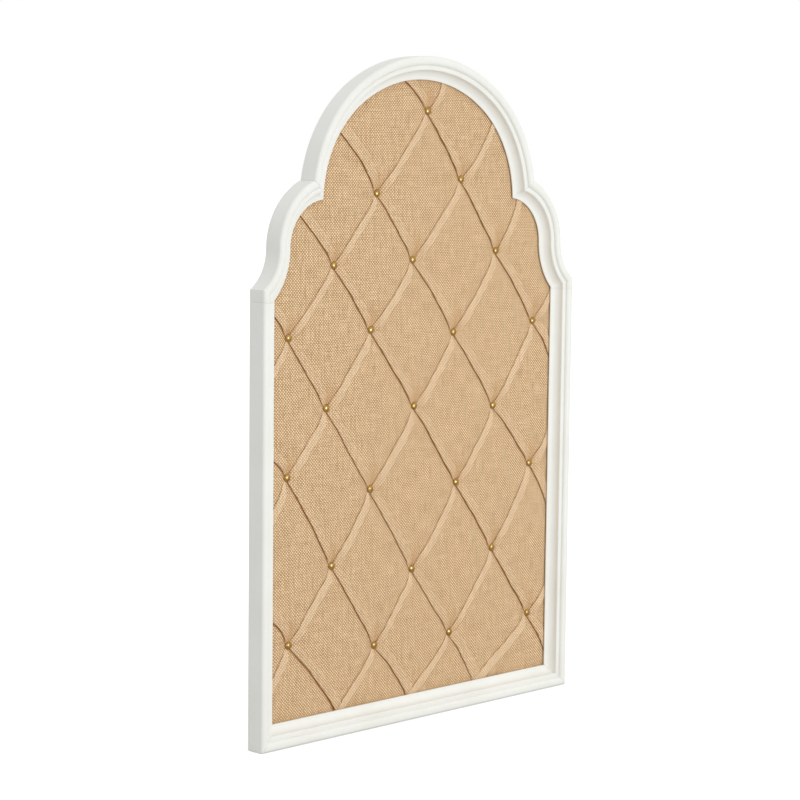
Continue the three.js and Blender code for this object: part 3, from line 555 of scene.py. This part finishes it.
CELL_PARTS = np.array([0.0, 0.05, 0.11, 0.2, 0.3, 0.4, 0.5, 0.6, 0.7, 0.8, 0.89, 0.95])
coarse = np.append((np.arange(CELLS)[:, None] + CELL_PARTS).ravel(), CELLS)
coarse_cell = np.minimum(coarse.astype(int), CELLS - 1)
coarse_part = coarse - coarse_cell
coarse_u, coarse_v = np.meshgrid(coarse_part, coarse_part, indexing="ij")
coarse_place = lattice_place(*np.meshgrid(coarse_cell, coarse_cell, indexing="ij"), coarse_u, coarse_v)
near_pleat = np.minimum(np.minimum(coarse_u, 1 - coarse_u), np.minimum(coarse_v, 1 - coarse_v))


def puff_of_tufts():
    """How far the foam swells between the pleats, in mm: a cloth held along the pleats and the border is
    blown up by an even pressure, and the rise is capped."""
    start = in_frame(coarse_place[..., 0], PAD_FACE + 0 * coarse_u, coarse_place[..., 1])
    trial = make_piece("tuft_trial", start, grid_faces(*coarse_u.shape, False)[:, ::-1], closed=False)
    held = trial.vertex_groups.new(name="held")
    stays = (near_pleat < 0.01) | (inside_by(coarse_place) < FALL_START)
    held.add(np.flatnonzero(stays).tolist(), 1.0, "REPLACE")
    blow = trial.modifiers.new("blow", "CLOTH")
    blow.settings.vertex_group_mass = "held"
    blow.settings.use_pressure = True
    blow.settings.uniform_pressure_force = PUFF_PRESSURE
    blow.settings.effector_weights.gravity = 0
    blow.settings.quality = 6
    for step in range(1, PUFF_STEPS + 1):
        bpy.context.scene.frame_set(step)
    blown = trial.evaluated_get(bpy.context.evaluated_depsgraph_get())
    places = np.empty(start.size)
    blown.data.vertices.foreach_get("co", places)
    rise = 1000 * (start[..., 1] - places.reshape(start.shape)[..., 1])
    bpy.data.objects.remove(trial)
    bpy.context.scene.frame_set(1)
    return PUFF_LIMIT * np.tanh(np.maximum(rise, 0) / PUFF_LIMIT)


tuft_puff = puff_of_tufts()


def trimmed(place, faces, inset):
    """Faces with a corner inside the inset line are kept and their corners drawn onto it; gives back the
    places, the kept points' numbers, the faces by those, and the edges round the rim in order of facing."""
    flat = place.reshape(-1, 2)
    faces = faces[(inside_by(flat) >= inset)[faces].any(1)]
    kept, renumbered = np.unique(faces, return_inverse=True)
    faces = renumbered.reshape(faces.shape)
    sides = np.stack([faces, np.roll(faces, -1, 1)], -1).reshape(-1, 2)
    _, first, count = np.unique(np.sort(sides, 1), axis=0, return_index=True, return_counts=True)
    return brought_inside(flat[kept], inset), kept, faces, sides[first[count == 1]]


def foam_block(name):
    """The coarse tufted surface, sunk below the cover, its flat back, and the rim between the two."""
    place, kept, faces, rim = trimmed(coarse_place, grid_faces(*coarse_u.shape, False)[:, ::-1], FOAM_INSET)
    furrow = FURROW_DEPTH * (1 - eased(near_pleat / FURROW_REACH)).ravel()[kept]
    depth = PAD_FACE + FOAM_SINK + tuft_fall(place) + furrow - tuft_puff.ravel()[kept]
    front = in_frame(place[:, 0], np.minimum(depth, PAD_BACK - 1), place[:, 1])
    back = in_frame(place[:, 0], PAD_BACK + 0 * depth, place[:, 1])
    below = len(front)
    walls = np.stack([rim[:, 1], rim[:, 0], rim[:, 0] + below, rim[:, 1] + below], -1)
    return make_piece(name, np.concatenate([front, back]),
                      np.concatenate([faces, faces[:, ::-1] + below, walls]), sharp=40)


soft_foam, foam_tree, foam_shader = new_finish("soft_foam")
foam_cells = add_node(foam_tree, "ShaderNodeTexVoronoi", {
    "Vector": object_place(foam_tree), "Scale": 1100.0}).outputs["Distance"]
set_inputs(foam_tree, foam_shader, {
    "Base Color": blended(foam_tree, foam_cells, display(236, 228, 204), display(205, 192, 160)),
    "Normal": relief(foam_tree, foam_cells, 0.6, 0.0004), "Roughness": 0.95})
foam = foam_block("foam_sheet")
dress(foam, soft_foam, "foam", "board", "foam_pad")

# Burlap cover: one piece of natural jute burlap drawn over the foam. Its fullness is folded into flat pleats
# that run from nail to nail, each fold lying to the right over a dark crease, and its edge is turned down
# round the foam and stapled behind.
# The creases, the lip's edge, the hem and the hollows above the nails carry painted shade, the lit folds a
# painted highlight.
COVER_INSET, COVER_HEM = 24.6, 26.1
FOLD_WIDTH, RISING_WIDTH, CELL_WIDTH, FOLD_TAPER = 10.0, 9.2, 126.0, 0.12
# across the fold: distance from the pleat line, share of the fold's width, rise, mark of painted crease
# shade, mark of painted fold highlight
FOLD_LINES = np.array([
    (0.6, 0, -1.5, 1, 0), (-0.1, 0, -1.2, 1, 0), (-0.8, 0, -0.6, 1, 0), (-1.1, 0, 0.2, 0.5, 0.2),
    (-0.8, 0, 0.9, 0.05, 0.6), (0, 0, 1.25, 0, 0.9), (1.5, 0, 1.4, 0, 1), (0, 0.4, 1.6, 0, 0.78),
    (0, 0.75, 1.85, 0, 0.85), (-0.9, 1, 2.0, 0, 1), (-0.2, 1, 1.8, 0, 1), (0.4, 1, 1.2, 0, 0.6),
    (1, 1, 0.5, 0.05, 0.15), (2, 1, 0.12, 0.05, 0), (4.5, 1, 0, 0, 0)])
LEAD_LINES = np.array([(-9, 0, 0, 0, 0), (-5.2, 0, -0.05, 0.06, 0), (-3.3, 0, -0.25, 0.25, 0),
                       (-2.1, 0, -0.6, 0.9, 0), (-0.8, 0, -1.0, 1, 0)])
PLAIN_LINES = np.linspace(29, 110, 11)
GATHERED_STEP = 0.35
RISING_SHARE, FALLING_FLARE = 0.33, 0.5
# a fold sways twice over: reach, waves along the pleat, step from pleat to pleat, step along the pleat
SWAYS = ((0.5, 1.3, 0.37, 0.61), (0.35, 3.1, 0.83, 0.29))
# how far a fold leans to the right of its line, how much more at its end, and where that begins
RISING_LEAN, FALLING_LEAN = (0.5, -3.0, 0.8), (-1.6, -2.0, 0.86)
# how far a pleat bows to the right of the straight line: each one, by turns more or less, and more where
# its start or its end is at the frame; the turn's start, step from pleat to pleat and step along the pleat
RISING_BOW, FALLING_BOW = (0.8, 1.27, 0.0, 3.0), (0.65, 1.32, 3.2, 1.6)
RISING_TURN, FALLING_TURN = (0.48, 1.0, 0.8), (-2.64, 4.6, 0.1)
# what a crease's painted shade loses at the nail it rises to, what its depth and shade keep below the nail it
# falls from, and over how much of the pleat; where a rising fold's painted highlight begins above a nail, and
# over how much it grows
CREASE_LOSS, CREASE_KEPT, CREASE_FADE, FOLD_START, FOLD_FADE = 0.8, 0.15, 0.25, 0.05, 0.2
EDGE_FLAT = 0.75
HEM_SHADE, HEM_START, HEM_END = 0.28, 35.5, MOULDING_WIDTH
# where the painted shade above each nail sits: its rise over the nail, its width and its height
HOLLOW_RISE, HOLLOW_WIDE, HOLLOW_HIGH = 11.0, 9.5, 13.0
RISING_LIGHT, FALLING_LIGHT = 0.42, 0.18


def cover_lines():
    """Lines of one diamond, from its own pleat across the plain cloth to the lead of the next pleat: columns
    are distance, share of the fold's width, rise, painted crease shade, painted fold highlight, next pleat's
    line or not, and the distance that is left where a nail gathers the fold."""
    plain = np.zeros((len(PLAIN_LINES), 5))
    plain[:, 0] = PLAIN_LINES
    rows = np.concatenate([FOLD_LINES, plain, LEAD_LINES])
    following = np.r_[np.zeros(len(FOLD_LINES) + len(plain)), np.ones(len(LEAD_LINES))]
    gathered = np.r_[GATHERED_STEP * np.arange(len(FOLD_LINES)), PLAIN_LINES, LEAD_LINES[:, 0]]
    return np.column_stack([rows, following, gathered])


def seen_span(ends):
    """The first and the last part of the way, on each pleat from knot to knot, that lie inside the lip."""
    along = np.linspace(0, 1, 101)
    way = ends[:, :-1, None] + along[:, None] * (ends[:, 1:] - ends[:, :-1])[:, :, None]
    seen = inside_by(way) >= MOULDING_WIDTH
    return along[seen.argmax(-1)], 1 - along[seen[..., ::-1].argmax(-1)]


def fold_shape(lines, cell, other_cell, other_part, nailed_ends, ends, rising):
    """For every line and every place along it: the part of the way across the diamond, the rise, and the
    marks of painted crease shade and painted fold highlight. The fold tapers at a nail, flares towards the
    frame, sways, leans and bows as a parabola; the painted shade of its crease fades at a nail, and so does a
    falling crease's depth, and a rising fold's painted highlight fades above the nail it starts from."""
    distance, widths, rise, crease_shade, fold, following, gathered = lines[:, :, None].transpose(1, 0, 2)
    pleat = cell[:, None] + following.astype(int)
    here = np.clip(other_part, 0, 1)[None, :]
    start, end = (nailed_ends[pleat, other_cell + k] for k in (0, 1))
    taper = np.where(start, eased(here / FOLD_TAPER), 1) * np.where(end, eased((1 - here) / FOLD_TAPER), 1)
    flare = FALLING_FLARE * (np.where(start, 0, 1 - here) + np.where(end, 0, here))
    width = RISING_WIDTH if rising else FOLD_WIDTH * (1 + flare)
    sway = sum(reach * np.sin(2 * np.pi * (waves * here + by_pleat * pleat + by_cell * other_cell))
               for reach, waves, by_pleat, by_cell in SWAYS)
    leaning, more, begins = RISING_LEAN if rising else FALLING_LEAN
    lean = leaning + more * eased((here - begins) / (1 - begins))
    first, last = (span[pleat, other_cell] for span in seen_span(ends))
    way = np.clip((here - first) / np.maximum(last - first, 0.01), 0, 1)
    steady, by_turns, from_frame, to_frame = RISING_BOW if rising else FALLING_BOW
    turn_start, by_pleat, by_cell = RISING_TURN if rising else FALLING_TURN
    turn = turn_start + by_pleat * pleat + by_cell * other_cell
    loose = np.where(start, 0, from_frame) + np.where(end, 0, to_frame)
    bow = (steady + by_turns * np.sin(turn) + loose * np.sqrt(last - first)) * 4 * way * (1 - way)
    full = distance + widths * width
    plain = (rise == 0) & (crease_shade == 0) & (fold == 0) & (following == 0) & (widths == 0)
    offset = gathered + (full - gathered) * taper + np.where(plain, 0, sway + lean + bow)
    if rising:
        rise = np.where(rise < 0, rise * RISING_SHARE, rise)
        at_nail = np.where(end, 1 - CREASE_LOSS * eased((here - 1 + CREASE_FADE) / CREASE_FADE), 1)
        crease_shade = crease_shade * RISING_SHARE * at_nail
        fold = fold * np.where(start, eased((here - FOLD_START) / FOLD_FADE), 1)
    else:
        below_nail = np.where(start, CREASE_KEPT + (1 - CREASE_KEPT) * eased(here / CREASE_FADE), 1)
        rise, crease_shade = np.where(rise < 0, rise * below_nail, rise), crease_shade * below_nail
        fold = fold * taper
    return following + offset / CELL_WIDTH, rise * taper, crease_shade * taper, fold


def burlap_face(name):
    """Pleat lines both ways make one grid; a place comes from the lattice, its depth from the pad's face
    less the higher fold and the puff, plus the deeper crease and the tuft. The hem is the rim drawn back.
    Its marks are painted shade in the creases and along the lip, painted shade in the hollows above the
    nails, a painted highlight on the lit folds, and full painted crease shade on the hem."""
    lines = np.tile(cover_lines(), (CELLS, 1))
    cell = np.repeat(np.arange(CELLS), len(lines) // CELLS)
    part = np.clip(lines[:, 5] + (lines[:, 0] + lines[:, 1] * FOLD_WIDTH) / CELL_WIDTH, 0, 1)
    u_part, u_rise, u_crease_shade, u_fold = fold_shape(lines, cell, cell, part, nailed, knots, True)
    v_part, v_rise, v_crease_shade, v_fold = (
        field.T for field in fold_shape(lines, cell, cell, part, nailed.T, knots.transpose(1, 0, 2), False))
    place = lattice_place(*np.meshgrid(cell, cell, indexing="ij"), u_part, v_part)
    rise = np.maximum(np.maximum(u_rise, v_rise), 0) + np.minimum(np.minimum(u_rise, v_rise), 0)
    spread = np.array([np.interp(cell + part, coarse, unit) for unit in np.eye(len(coarse))])
    puff = spread.T @ tuft_puff @ spread
    place, kept, faces, rim = trimmed(place, grid_faces(*rise.shape, False)[:, ::-1], COVER_INSET)
    rise = rise.ravel()[kept]
    rise = rise * np.where(rise > 0, 1 - EDGE_FLAT * towards_edge(place, FALL_START, FALL_END), 1)
    depth = PAD_FACE + tuft_fall(place) - rise - puff.ravel()[kept]
    rim_points, hem = np.unique(rim, return_inverse=True)
    hem = hem.reshape(rim.shape) + len(place)
    points = np.concatenate([in_frame(place[:, 0], depth, place[:, 1]),
                             in_frame(place[rim_points, 0], COVER_HEM, place[rim_points, 1])])
    walls = np.stack([rim[:, 1], rim[:, 0], hem[:, 0], hem[:, 1]], -1)
    # painted shade in the creases, and a painted shadow along the lip's edge
    crease_shade = np.maximum(np.maximum(u_crease_shade, v_crease_shade).ravel()[kept],
                        HEM_SHADE * towards_edge(place, HEM_START, HEM_END))
    # painted shade in the hollow above each nail
    from_nail = (place[:, None, :] - nail_places - [0, HOLLOW_RISE]) / [HOLLOW_WIDE, HOLLOW_HIGH]
    hollow_shade = np.exp(-(from_nail ** 2).sum(-1)).max(-1)
    # painted highlight on the lit folds
    lit_fold = np.maximum(RISING_LIGHT * u_fold, FALLING_LIGHT * v_fold).ravel()[kept]
    on_hem = np.zeros(len(rim_points))
    # the turned-down hem under the lip takes the full painted crease shade
    return make_piece(name, points, np.concatenate([faces, walls]), sharp=180, closed=False, marks={
        "crease_shade": np.r_[crease_shade, on_hem + 1], "hollow_shade": np.r_[hollow_shade, on_hem],
        "lit_fold": np.r_[lit_fold, on_hem]})


burlap, jute_tree, jute_shader = new_finish("jute_burlap")
THREAD_PITCH, THREAD_SWAY = 0.0023, 0.0012
WARP_SLUBS, WEFT_SLUBS = 0.09, 0.07
# what the yarn's tone takes from its lay and from each float, and what the gaps take from thin yarn
LAY_SHARE, FLOAT_SHARE, THIN_SHARE = 1.0, 0.4, 1.25
# how far the painted crease shade and the painted hollow shade go towards their colours
CREASE_SHADE_STRENGTH, HOLLOW_SHADE_STRENGTH = 0.9, 0.5
JUTE_LIGHT, JUTE, JUTE_GAP = display(255, 226, 187), display(197, 160, 112), display(124, 80, 38)
# colours of the painted crease shade, the painted hollow shade and the painted highlight on lit folds
JUTE_CREASE_SHADE, JUTE_HOLLOW_SHADE, JUTE_LIT = display(156, 100, 34), display(196, 146, 88), display(246, 219, 185)

jute_place = object_place(jute_tree)
thread_drift = add_node(jute_tree, "ShaderNodeTexNoise", {
    "Vector": jute_place, "Scale": 55.0, "Detail": 2.0, "Roughness": 0.5}).outputs["Color"]
thread_sway = add_node(jute_tree, "ShaderNodeVectorMath", {
    0: thread_drift, 1: (-0.5, -0.5, -0.5)}, operation="ADD").outputs[0]
thread_place = add_node(jute_tree, "ShaderNodeVectorMath", {
    0: thread_sway, 1: (THREAD_SWAY, 0.0, THREAD_SWAY), 2: jute_place}, operation="MULTIPLY_ADD").outputs[0]
thread_parts = add_node(jute_tree, "ShaderNodeSeparateXYZ", {0: thread_place}).outputs


def thread_wave(way):
    """The cosine of half a turn for each thread along an axis."""
    return calc(jute_tree, "COSINE", calc(jute_tree, "MULTIPLY", thread_parts[way], math.pi / THREAD_PITCH))


def slubs(across, up):
    """Thick and thin places in the yarn: noise one thread wide and many threads long."""
    scale = (across / THREAD_PITCH, 0.0, up / THREAD_PITCH)
    return mottle(jute_tree, stretched(jute_tree, thread_place, scale), 1.0, 2.0, 0.6)


def swung(value, share, onto):
    """A value plus a share of how far another lies from one half."""
    return calc(jute_tree, "MULTIPLY_ADD", calc(jute_tree, "SUBTRACT", value, 0.5), share, onto)


def mark(name):
    """One of the marks that the cover's points carry."""
    return add_node(jute_tree, "ShaderNodeAttribute", attribute_name=name).outputs["Fac"]


over_under = calc(jute_tree, "MULTIPLY", thread_wave("X"), thread_wave("Z"))
thread_body = calc(jute_tree, "POWER", calc(jute_tree, "ABSOLUTE", over_under), 0.55)
warp_over = ranged(jute_tree, over_under, -0.25, 0.25)
yarn = add_node(jute_tree, "ShaderNodeMix", {
    0: warp_over, 2: slubs(WEFT_SLUBS, 1), 3: slubs(1, WARP_SLUBS)}).outputs[0]
float_place = add_node(jute_tree, "ShaderNodeVectorMath", {
    0: thread_place, 1: (THREAD_PITCH, 1.0, THREAD_PITCH)}, operation="SNAP").outputs[0]
float_tone = add_node(jute_tree, "ShaderNodeTexWhiteNoise", {"Vector": float_place}).outputs["Value"]
yarn_mix = swung(float_tone, FLOAT_SHARE, swung(warp_over, LAY_SHARE, yarn))
yarn_colour = blended(jute_tree, ranged(jute_tree, yarn_mix, 0.1, 0.9), JUTE, JUTE_LIGHT)
gap_share = ranged(jute_tree, swung(yarn, THIN_SHARE, thread_body), 0.05, 0.6, 0.95, 0.0)
woven_colour = blended(jute_tree, gap_share, yarn_colour, JUTE_GAP)
# painted shade: the creases and the lip's edge darkened towards brown
crease_shade_share = calc(jute_tree, "MULTIPLY", mark("crease_shade"), CREASE_SHADE_STRENGTH)
crease_shaded_colour = blended(jute_tree, crease_shade_share, woven_colour, JUTE_CREASE_SHADE)
# painted shade: the hollows above the nails darkened towards a warm brown
hollow_shade_share = calc(jute_tree, "MULTIPLY", mark("hollow_shade"), HOLLOW_SHADE_STRENGTH)
hollow_shaded_colour = blended(jute_tree, hollow_shade_share, crease_shaded_colour, JUTE_HOLLOW_SHADE)
weave_height = calc(jute_tree, "MULTIPLY_ADD", yarn, 0.5, thread_body)
# painted highlight: the lit folds lightened
set_inputs(jute_tree, jute_shader, {
    "Base Color": blended(jute_tree, mark("lit_fold"), hollow_shaded_colour, JUTE_LIT),
    "Normal": relief(jute_tree, weave_height, 0.5, 0.0005), "Roughness": 0.92,
    "Specular IOR Level": 0.2, "Sheen Weight": 0.1, "Sheen Roughness": 0.5})
cover = burlap_face("burlap_face")
dress(cover, burlap, "burlap", "board", "burlap_cover")

# Nails: twenty-four domed brass upholstery nails, stamped heads on steel shanks, driven through the cover
# and the foam into the plywood where the pleats cross, until the rim beds in the burlap.
NAIL_RADIUS, NAIL_RIM_DEPTH, NAIL_RIM, NAIL_DOME = 5.5, 21.43, 0.4, 2.9
SHANK_RADIUS, SHANK_TIP = 0.9, 30.0

metal_scuffs, scuff_in = node_group("metal_scuffs", {
    "Place": "Vector", "Scale": "Float", "Bright": "Color", "Dull": "Color"},
    {"Colour": "Color", "Scuff": "Float"})
scuff_noise = mottle(metal_scuffs, scuff_in["Place"], scuff_in["Scale"], 4.0, 0.65)
scuff_share = ranged(metal_scuffs, scuff_noise, 0.35, 0.7)
scuff_tone = blended(metal_scuffs, scuff_share, scuff_in["Bright"], scuff_in["Dull"])
add_node(metal_scuffs, "NodeGroupOutput", {"Colour": scuff_tone, "Scuff": scuff_share})


def scuffed(name, scale, bright, dull, smooth, worn):
    """A bare metal finish: the scuff group's colour, and roughness between smooth and worn."""
    material, tree, shader = new_finish(name)
    scuff = add_node(tree, "ShaderNodeGroup", {
        "Place": object_place(tree), "Scale": scale, "Bright": bright, "Dull": dull},
        node_tree=metal_scuffs).outputs
    set_inputs(tree, shader, {
        "Base Color": scuff["Colour"], "Roughness": ranged(tree, scuff["Scuff"], 0.0, 1.0, smooth, worn),
        "Normal": relief(tree, scuff["Scuff"], 0.15, 0.0001), "Metallic": 1.0})
    return material


def turned(name, profile, place, sharp=35):
    """A profile of (radius, depth) spun about the depth axis through a place: radius times the cosine and
    sine of forty even turns. Its two ends lie on the axis and close in one point each."""
    profile = np.array(profile, float)
    spin = np.linspace(0, 2 * np.pi, 40, endpoint=False)
    radius, depth = profile[1:-1, 0], profile[1:-1, 1]
    belt = in_frame(place[0] + radius[:, None] * np.cos(spin), depth[:, None] + 0 * spin,
                    place[1] + radius[:, None] * np.sin(spin))
    tips = in_frame(place[0] + np.zeros(2), profile[[0, -1], 1], place[1] + np.zeros(2))
    rows, columns = belt.shape[:2]
    ring = np.arange(columns)
    following, last, tip = np.roll(ring, -1), (rows - 1) * columns, np.full(columns, rows * columns)
    fans = np.concatenate([np.stack([tip, following, ring], -1),
                           np.stack([tip + 1, last + ring, last + following], -1)])
    return make_piece(name, np.concatenate([belt.reshape(-1, 3), tips]), grid_faces(rows, columns, True),
                      fans, sharp)


brass = scuffed("antique_brass", 420.0, display(206, 170, 104), display(148, 111, 54), 0.2, 0.36)
dome_turn = np.linspace(0, np.pi / 2, 14)[1:-1]
dome_foot = NAIL_RIM_DEPTH - NAIL_RIM
nail_profile = np.concatenate([
    [[0, SHANK_TIP], [SHANK_RADIUS, SHANK_TIP - 1.8], [SHANK_RADIUS, NAIL_RIM_DEPTH - 0.1],
     [NAIL_RADIUS - 0.5, NAIL_RIM_DEPTH], [NAIL_RADIUS - 0.1, NAIL_RIM_DEPTH - 0.05],
     [NAIL_RADIUS, NAIL_RIM_DEPTH - 0.2], [NAIL_RADIUS, dome_foot]],
    np.stack([NAIL_RADIUS * np.cos(dome_turn), dome_foot - NAIL_DOME * np.sin(dome_turn)], -1),
    [[0, dome_foot - NAIL_DOME]]])
for number, place in enumerate(nail_places, 1):
    nail = turned(f"brass_nail_{number:02d}", nail_profile, place)
    dress(nail, brass, "brass", "board", f"nail_{number:02d}")

# Panel and hanger screws: twelve zinc-plated pan-head screws with a cross recess, driven from behind
# through the plywood, and through the two straps, into the moulding.
SCREW_HEAD, SCREW_RISE, SCREW_SHANK, SCREW_POINT = 3.4, 1.9, 1.5, 3.0
SCREW_EDGE, SCREW_RIM, TIP_RADIUS = 0.15, 0.5, 0.02
RECESS_REACH, RECESS_WIDTH, RECESS_DEPTH = 1.9, 0.45, 1.1
zinc = scuffed("zinc_plate", 300.0, display(206, 208, 210), display(158, 160, 164), 0.28, 0.5)


def cross_screw(name, node):
    """Spun rows from the tip up the shank, under and round the head and over its crown; the crown sinks by
    RECESS_DEPTH where a place lies in one of two crossed slots."""
    low, high = node_box(node)
    place = (low + high)[[0, 2]] / 2
    tip, top = low[1], high[1]
    face = top - SCREW_RISE
    crown = np.linspace(0, np.pi / 2, 26)[:-1]
    radius = np.r_[TIP_RADIUS, SCREW_SHANK, SCREW_SHANK, SCREW_HEAD - SCREW_EDGE, SCREW_HEAD,
                   SCREW_HEAD * np.cos(crown), TIP_RADIUS][:, None]
    depth = np.r_[tip, tip + SCREW_POINT, face, face, face + SCREW_EDGE,
                  face + SCREW_RIM + (SCREW_RISE - SCREW_RIM) * np.sin(crown), top][:, None]
    spin = np.linspace(0, 2 * np.pi, 64, endpoint=False)
    x, z = radius * np.cos(spin), radius * np.sin(spin)
    slot = np.minimum(abs(x), abs(z)) - RECESS_WIDTH
    sunk = RECESS_DEPTH * eased(-slot / 0.15 + 0.5) * eased((RECESS_REACH - np.hypot(x, z)) / 0.4)
    depth = depth - np.where(depth > face + SCREW_RIM + 0.1, sunk, 0)
    return make_tube(name, in_frame(place[0] + x, depth, place[1] + z), 40)


for number in range(1, 11):
    screw = cross_screw(f"zinc_screw_{number:02d}", f"panel_screw_{number:02d}")
    dress(screw, zinc, "zinc", "board", f"panel_screw_{number:02d}")
for name in ("left", "right"):
    screw = cross_screw(f"{name}_strap_screw", f"{name}_hanger_screw")
    dress(screw, zinc, "zinc", "board", f"{name}_hanger_screw")

# Hanger straps: two strips of zinc-plated steel, rolled at the top into an eye for the ring, with a rounded
# foot, each held flat on the plywood by one screw below the eye.
STRAP_HALF, STRAP_GAUGE, STRAP_LENGTH, STRAP_EASE = 5.0, 0.9, 34.0, 0.12
EYE_OUTER, EYE_END = 2.05, 205


def rolled_strap(name, node):
    """The strip's centre line runs up its length and then round the eye; half its gauge is set off to each
    side, and each pair of points is carried across the width, which rounds off at the foot."""
    low, high = node_box(node)
    middle, back = (low[0] + high[0]) / 2, low[1]
    eye_height = high[2] - EYE_OUTER
    mid_eye = EYE_OUTER - STRAP_GAUGE / 2
    lift = np.r_[np.linspace(-STRAP_LENGTH, -STRAP_LENGTH + STRAP_HALF, 12), np.linspace(-26, -0.3, 10)]
    roll = np.linspace(-np.pi / 2, np.radians(EYE_END), 44)
    line = np.concatenate([np.stack([lift, STRAP_GAUGE / 2 + 0 * lift], -1),
                           np.stack([mid_eye * np.cos(roll), EYE_OUTER + mid_eye * np.sin(roll)], -1)])
    way = np.gradient(line, axis=0)
    way /= np.linalg.norm(way, axis=1, keepdims=True)
    aside = np.stack([-way[:, 1], way[:, 0]], -1) * STRAP_GAUGE / 2
    from_foot = np.clip((line[:, 0] + STRAP_LENGTH) / STRAP_HALF, 0, 1)
    half = STRAP_HALF * np.sqrt(np.maximum(1 - (1 - from_foot) ** 2, 0.0025))
    edges = []
    for side, offsets in ((-1, (-1, -0.7, 0.7, 1)), (1, (1, 0.7, -0.7, -1))):
        for offset in offsets:
            cut = STRAP_EASE if abs(offset) == 1 else 0
            lift, depth = (line + aside * offset).T
            edges.append(in_frame(middle + side * np.maximum(half - cut, 0.05), back + depth,
                                  eye_height + lift))
    return make_tube(name, np.stack(edges, 1), 35)


for name in ("left", "right"):
    strap = rolled_strap(f"{name}_strap", f"{name}_hanger_strap")
    dress(strap, zinc, "zinc", "board", f"{name}_hanger_strap")

# Hanger rings: D-rings of 1.7 mm zinc-plated wire, bent cold so that the ends butt inside the eye. They
# swing on their straight bar in the eye, and the wall hooks catch them.
WIRE_RADIUS, RING_BAR, RING_DROP, RING_BEND, RING_END_GAP = 0.85, 18.0, 15.0, 4.0, 0.5


def wire_ring(name, node):
    """A round wire along a D: half the bar, a quadratic bend, a cubic bow and the same back; at each place a
    circle of the wire's radius stands across the path."""
    low, high = node_box(node)
    middle, depth = (low[:2] + high[:2]) / 2
    bar_height = high[2] - WIRE_RADIUS
    half, bow = RING_BAR / 2, -RING_DROP * 4 / 3 + RING_BEND / 3
    t = np.linspace(0, 1, 13)[:, None]
    s = np.linspace(0, 1, 41)[:, None]
    bar_end, corner, side_top = [[half - RING_BEND, 0]], [[half, 0]], [[half, -RING_BEND]]
    straight = np.array([[RING_END_GAP / 2, 0]]) * (1 - t) + t * bar_end
    bend = (1 - t) ** 2 * bar_end + 2 * t * (1 - t) * corner + t ** 2 * side_top
    loop = ((1 - s) ** 3 * side_top + 3 * s * (1 - s) ** 2 * [[half, bow]]
            + 3 * s ** 2 * (1 - s) * [[-half, bow]] + s ** 3 * [[-half, -RING_BEND]])
    mirror = np.array([[-1, 1]])
    path = np.concatenate([straight, bend[1:], loop[1:], (bend * mirror)[-2::-1],
                           (straight * mirror)[-2::-1]])
    way = np.gradient(path, axis=0)
    way /= np.linalg.norm(way, axis=1, keepdims=True)
    aside = np.stack([-way[:, 1], way[:, 0]], -1)
    spin = np.linspace(0, 2 * np.pi, 16, endpoint=False)
    across_path = path[:, None, :] + WIRE_RADIUS * np.cos(spin)[None, :, None] * aside[:, None, :]
    points = in_frame(middle + across_path[..., 0], depth + WIRE_RADIUS * np.sin(spin)[None, :],
                      bar_height + across_path[..., 1])
    return make_tube(name, points, 40)


for name in ("left", "right"):
    ring = wire_ring(f"{name}_ring_wire", f"{name}_hanger_ring")
    dress(ring, zinc, "zinc", f"{name}_ring", f"{name}_hanger_ring")

# Bumpers: two round felt pads stuck to the panel's lower corners, which keep the foot as far off the wall
# as the hangers and spare the paint.
BUMPER_RADIUS, BUMPER_EDGE = 7.0, 0.8

felt, felt_tree, felt_shader = new_finish("grey_felt")
felt_fibres = mottle(felt_tree, object_place(felt_tree), 1500.0, 4.0, 0.7, 1.2)
set_inputs(felt_tree, felt_shader, {
    "Base Color": blended(felt_tree, felt_fibres, display(70, 67, 63), display(124, 120, 114)),
    "Normal": relief(felt_tree, felt_fibres, 0.7, 0.0004), "Roughness": 0.95, "Sheen Weight": 0.3})
for name in ("left", "right"):
    low, high = node_box(f"{name}_bumper")
    front, back = low[1], high[1]
    edge = np.linspace(0, np.pi / 2, 6)
    rounded = np.stack([BUMPER_RADIUS - BUMPER_EDGE * (1 - np.cos(edge)),
                        back - BUMPER_EDGE * (1 - np.sin(edge))], -1)
    bumper = turned(f"{name}_felt_bumper", np.concatenate([
        [[0, front], [BUMPER_RADIUS, front]], rounded, [[0, back]]]), (low + high)[[0, 2]] / 2)
    dress(bumper, felt, "felt", "board", f"{name}_bumper")
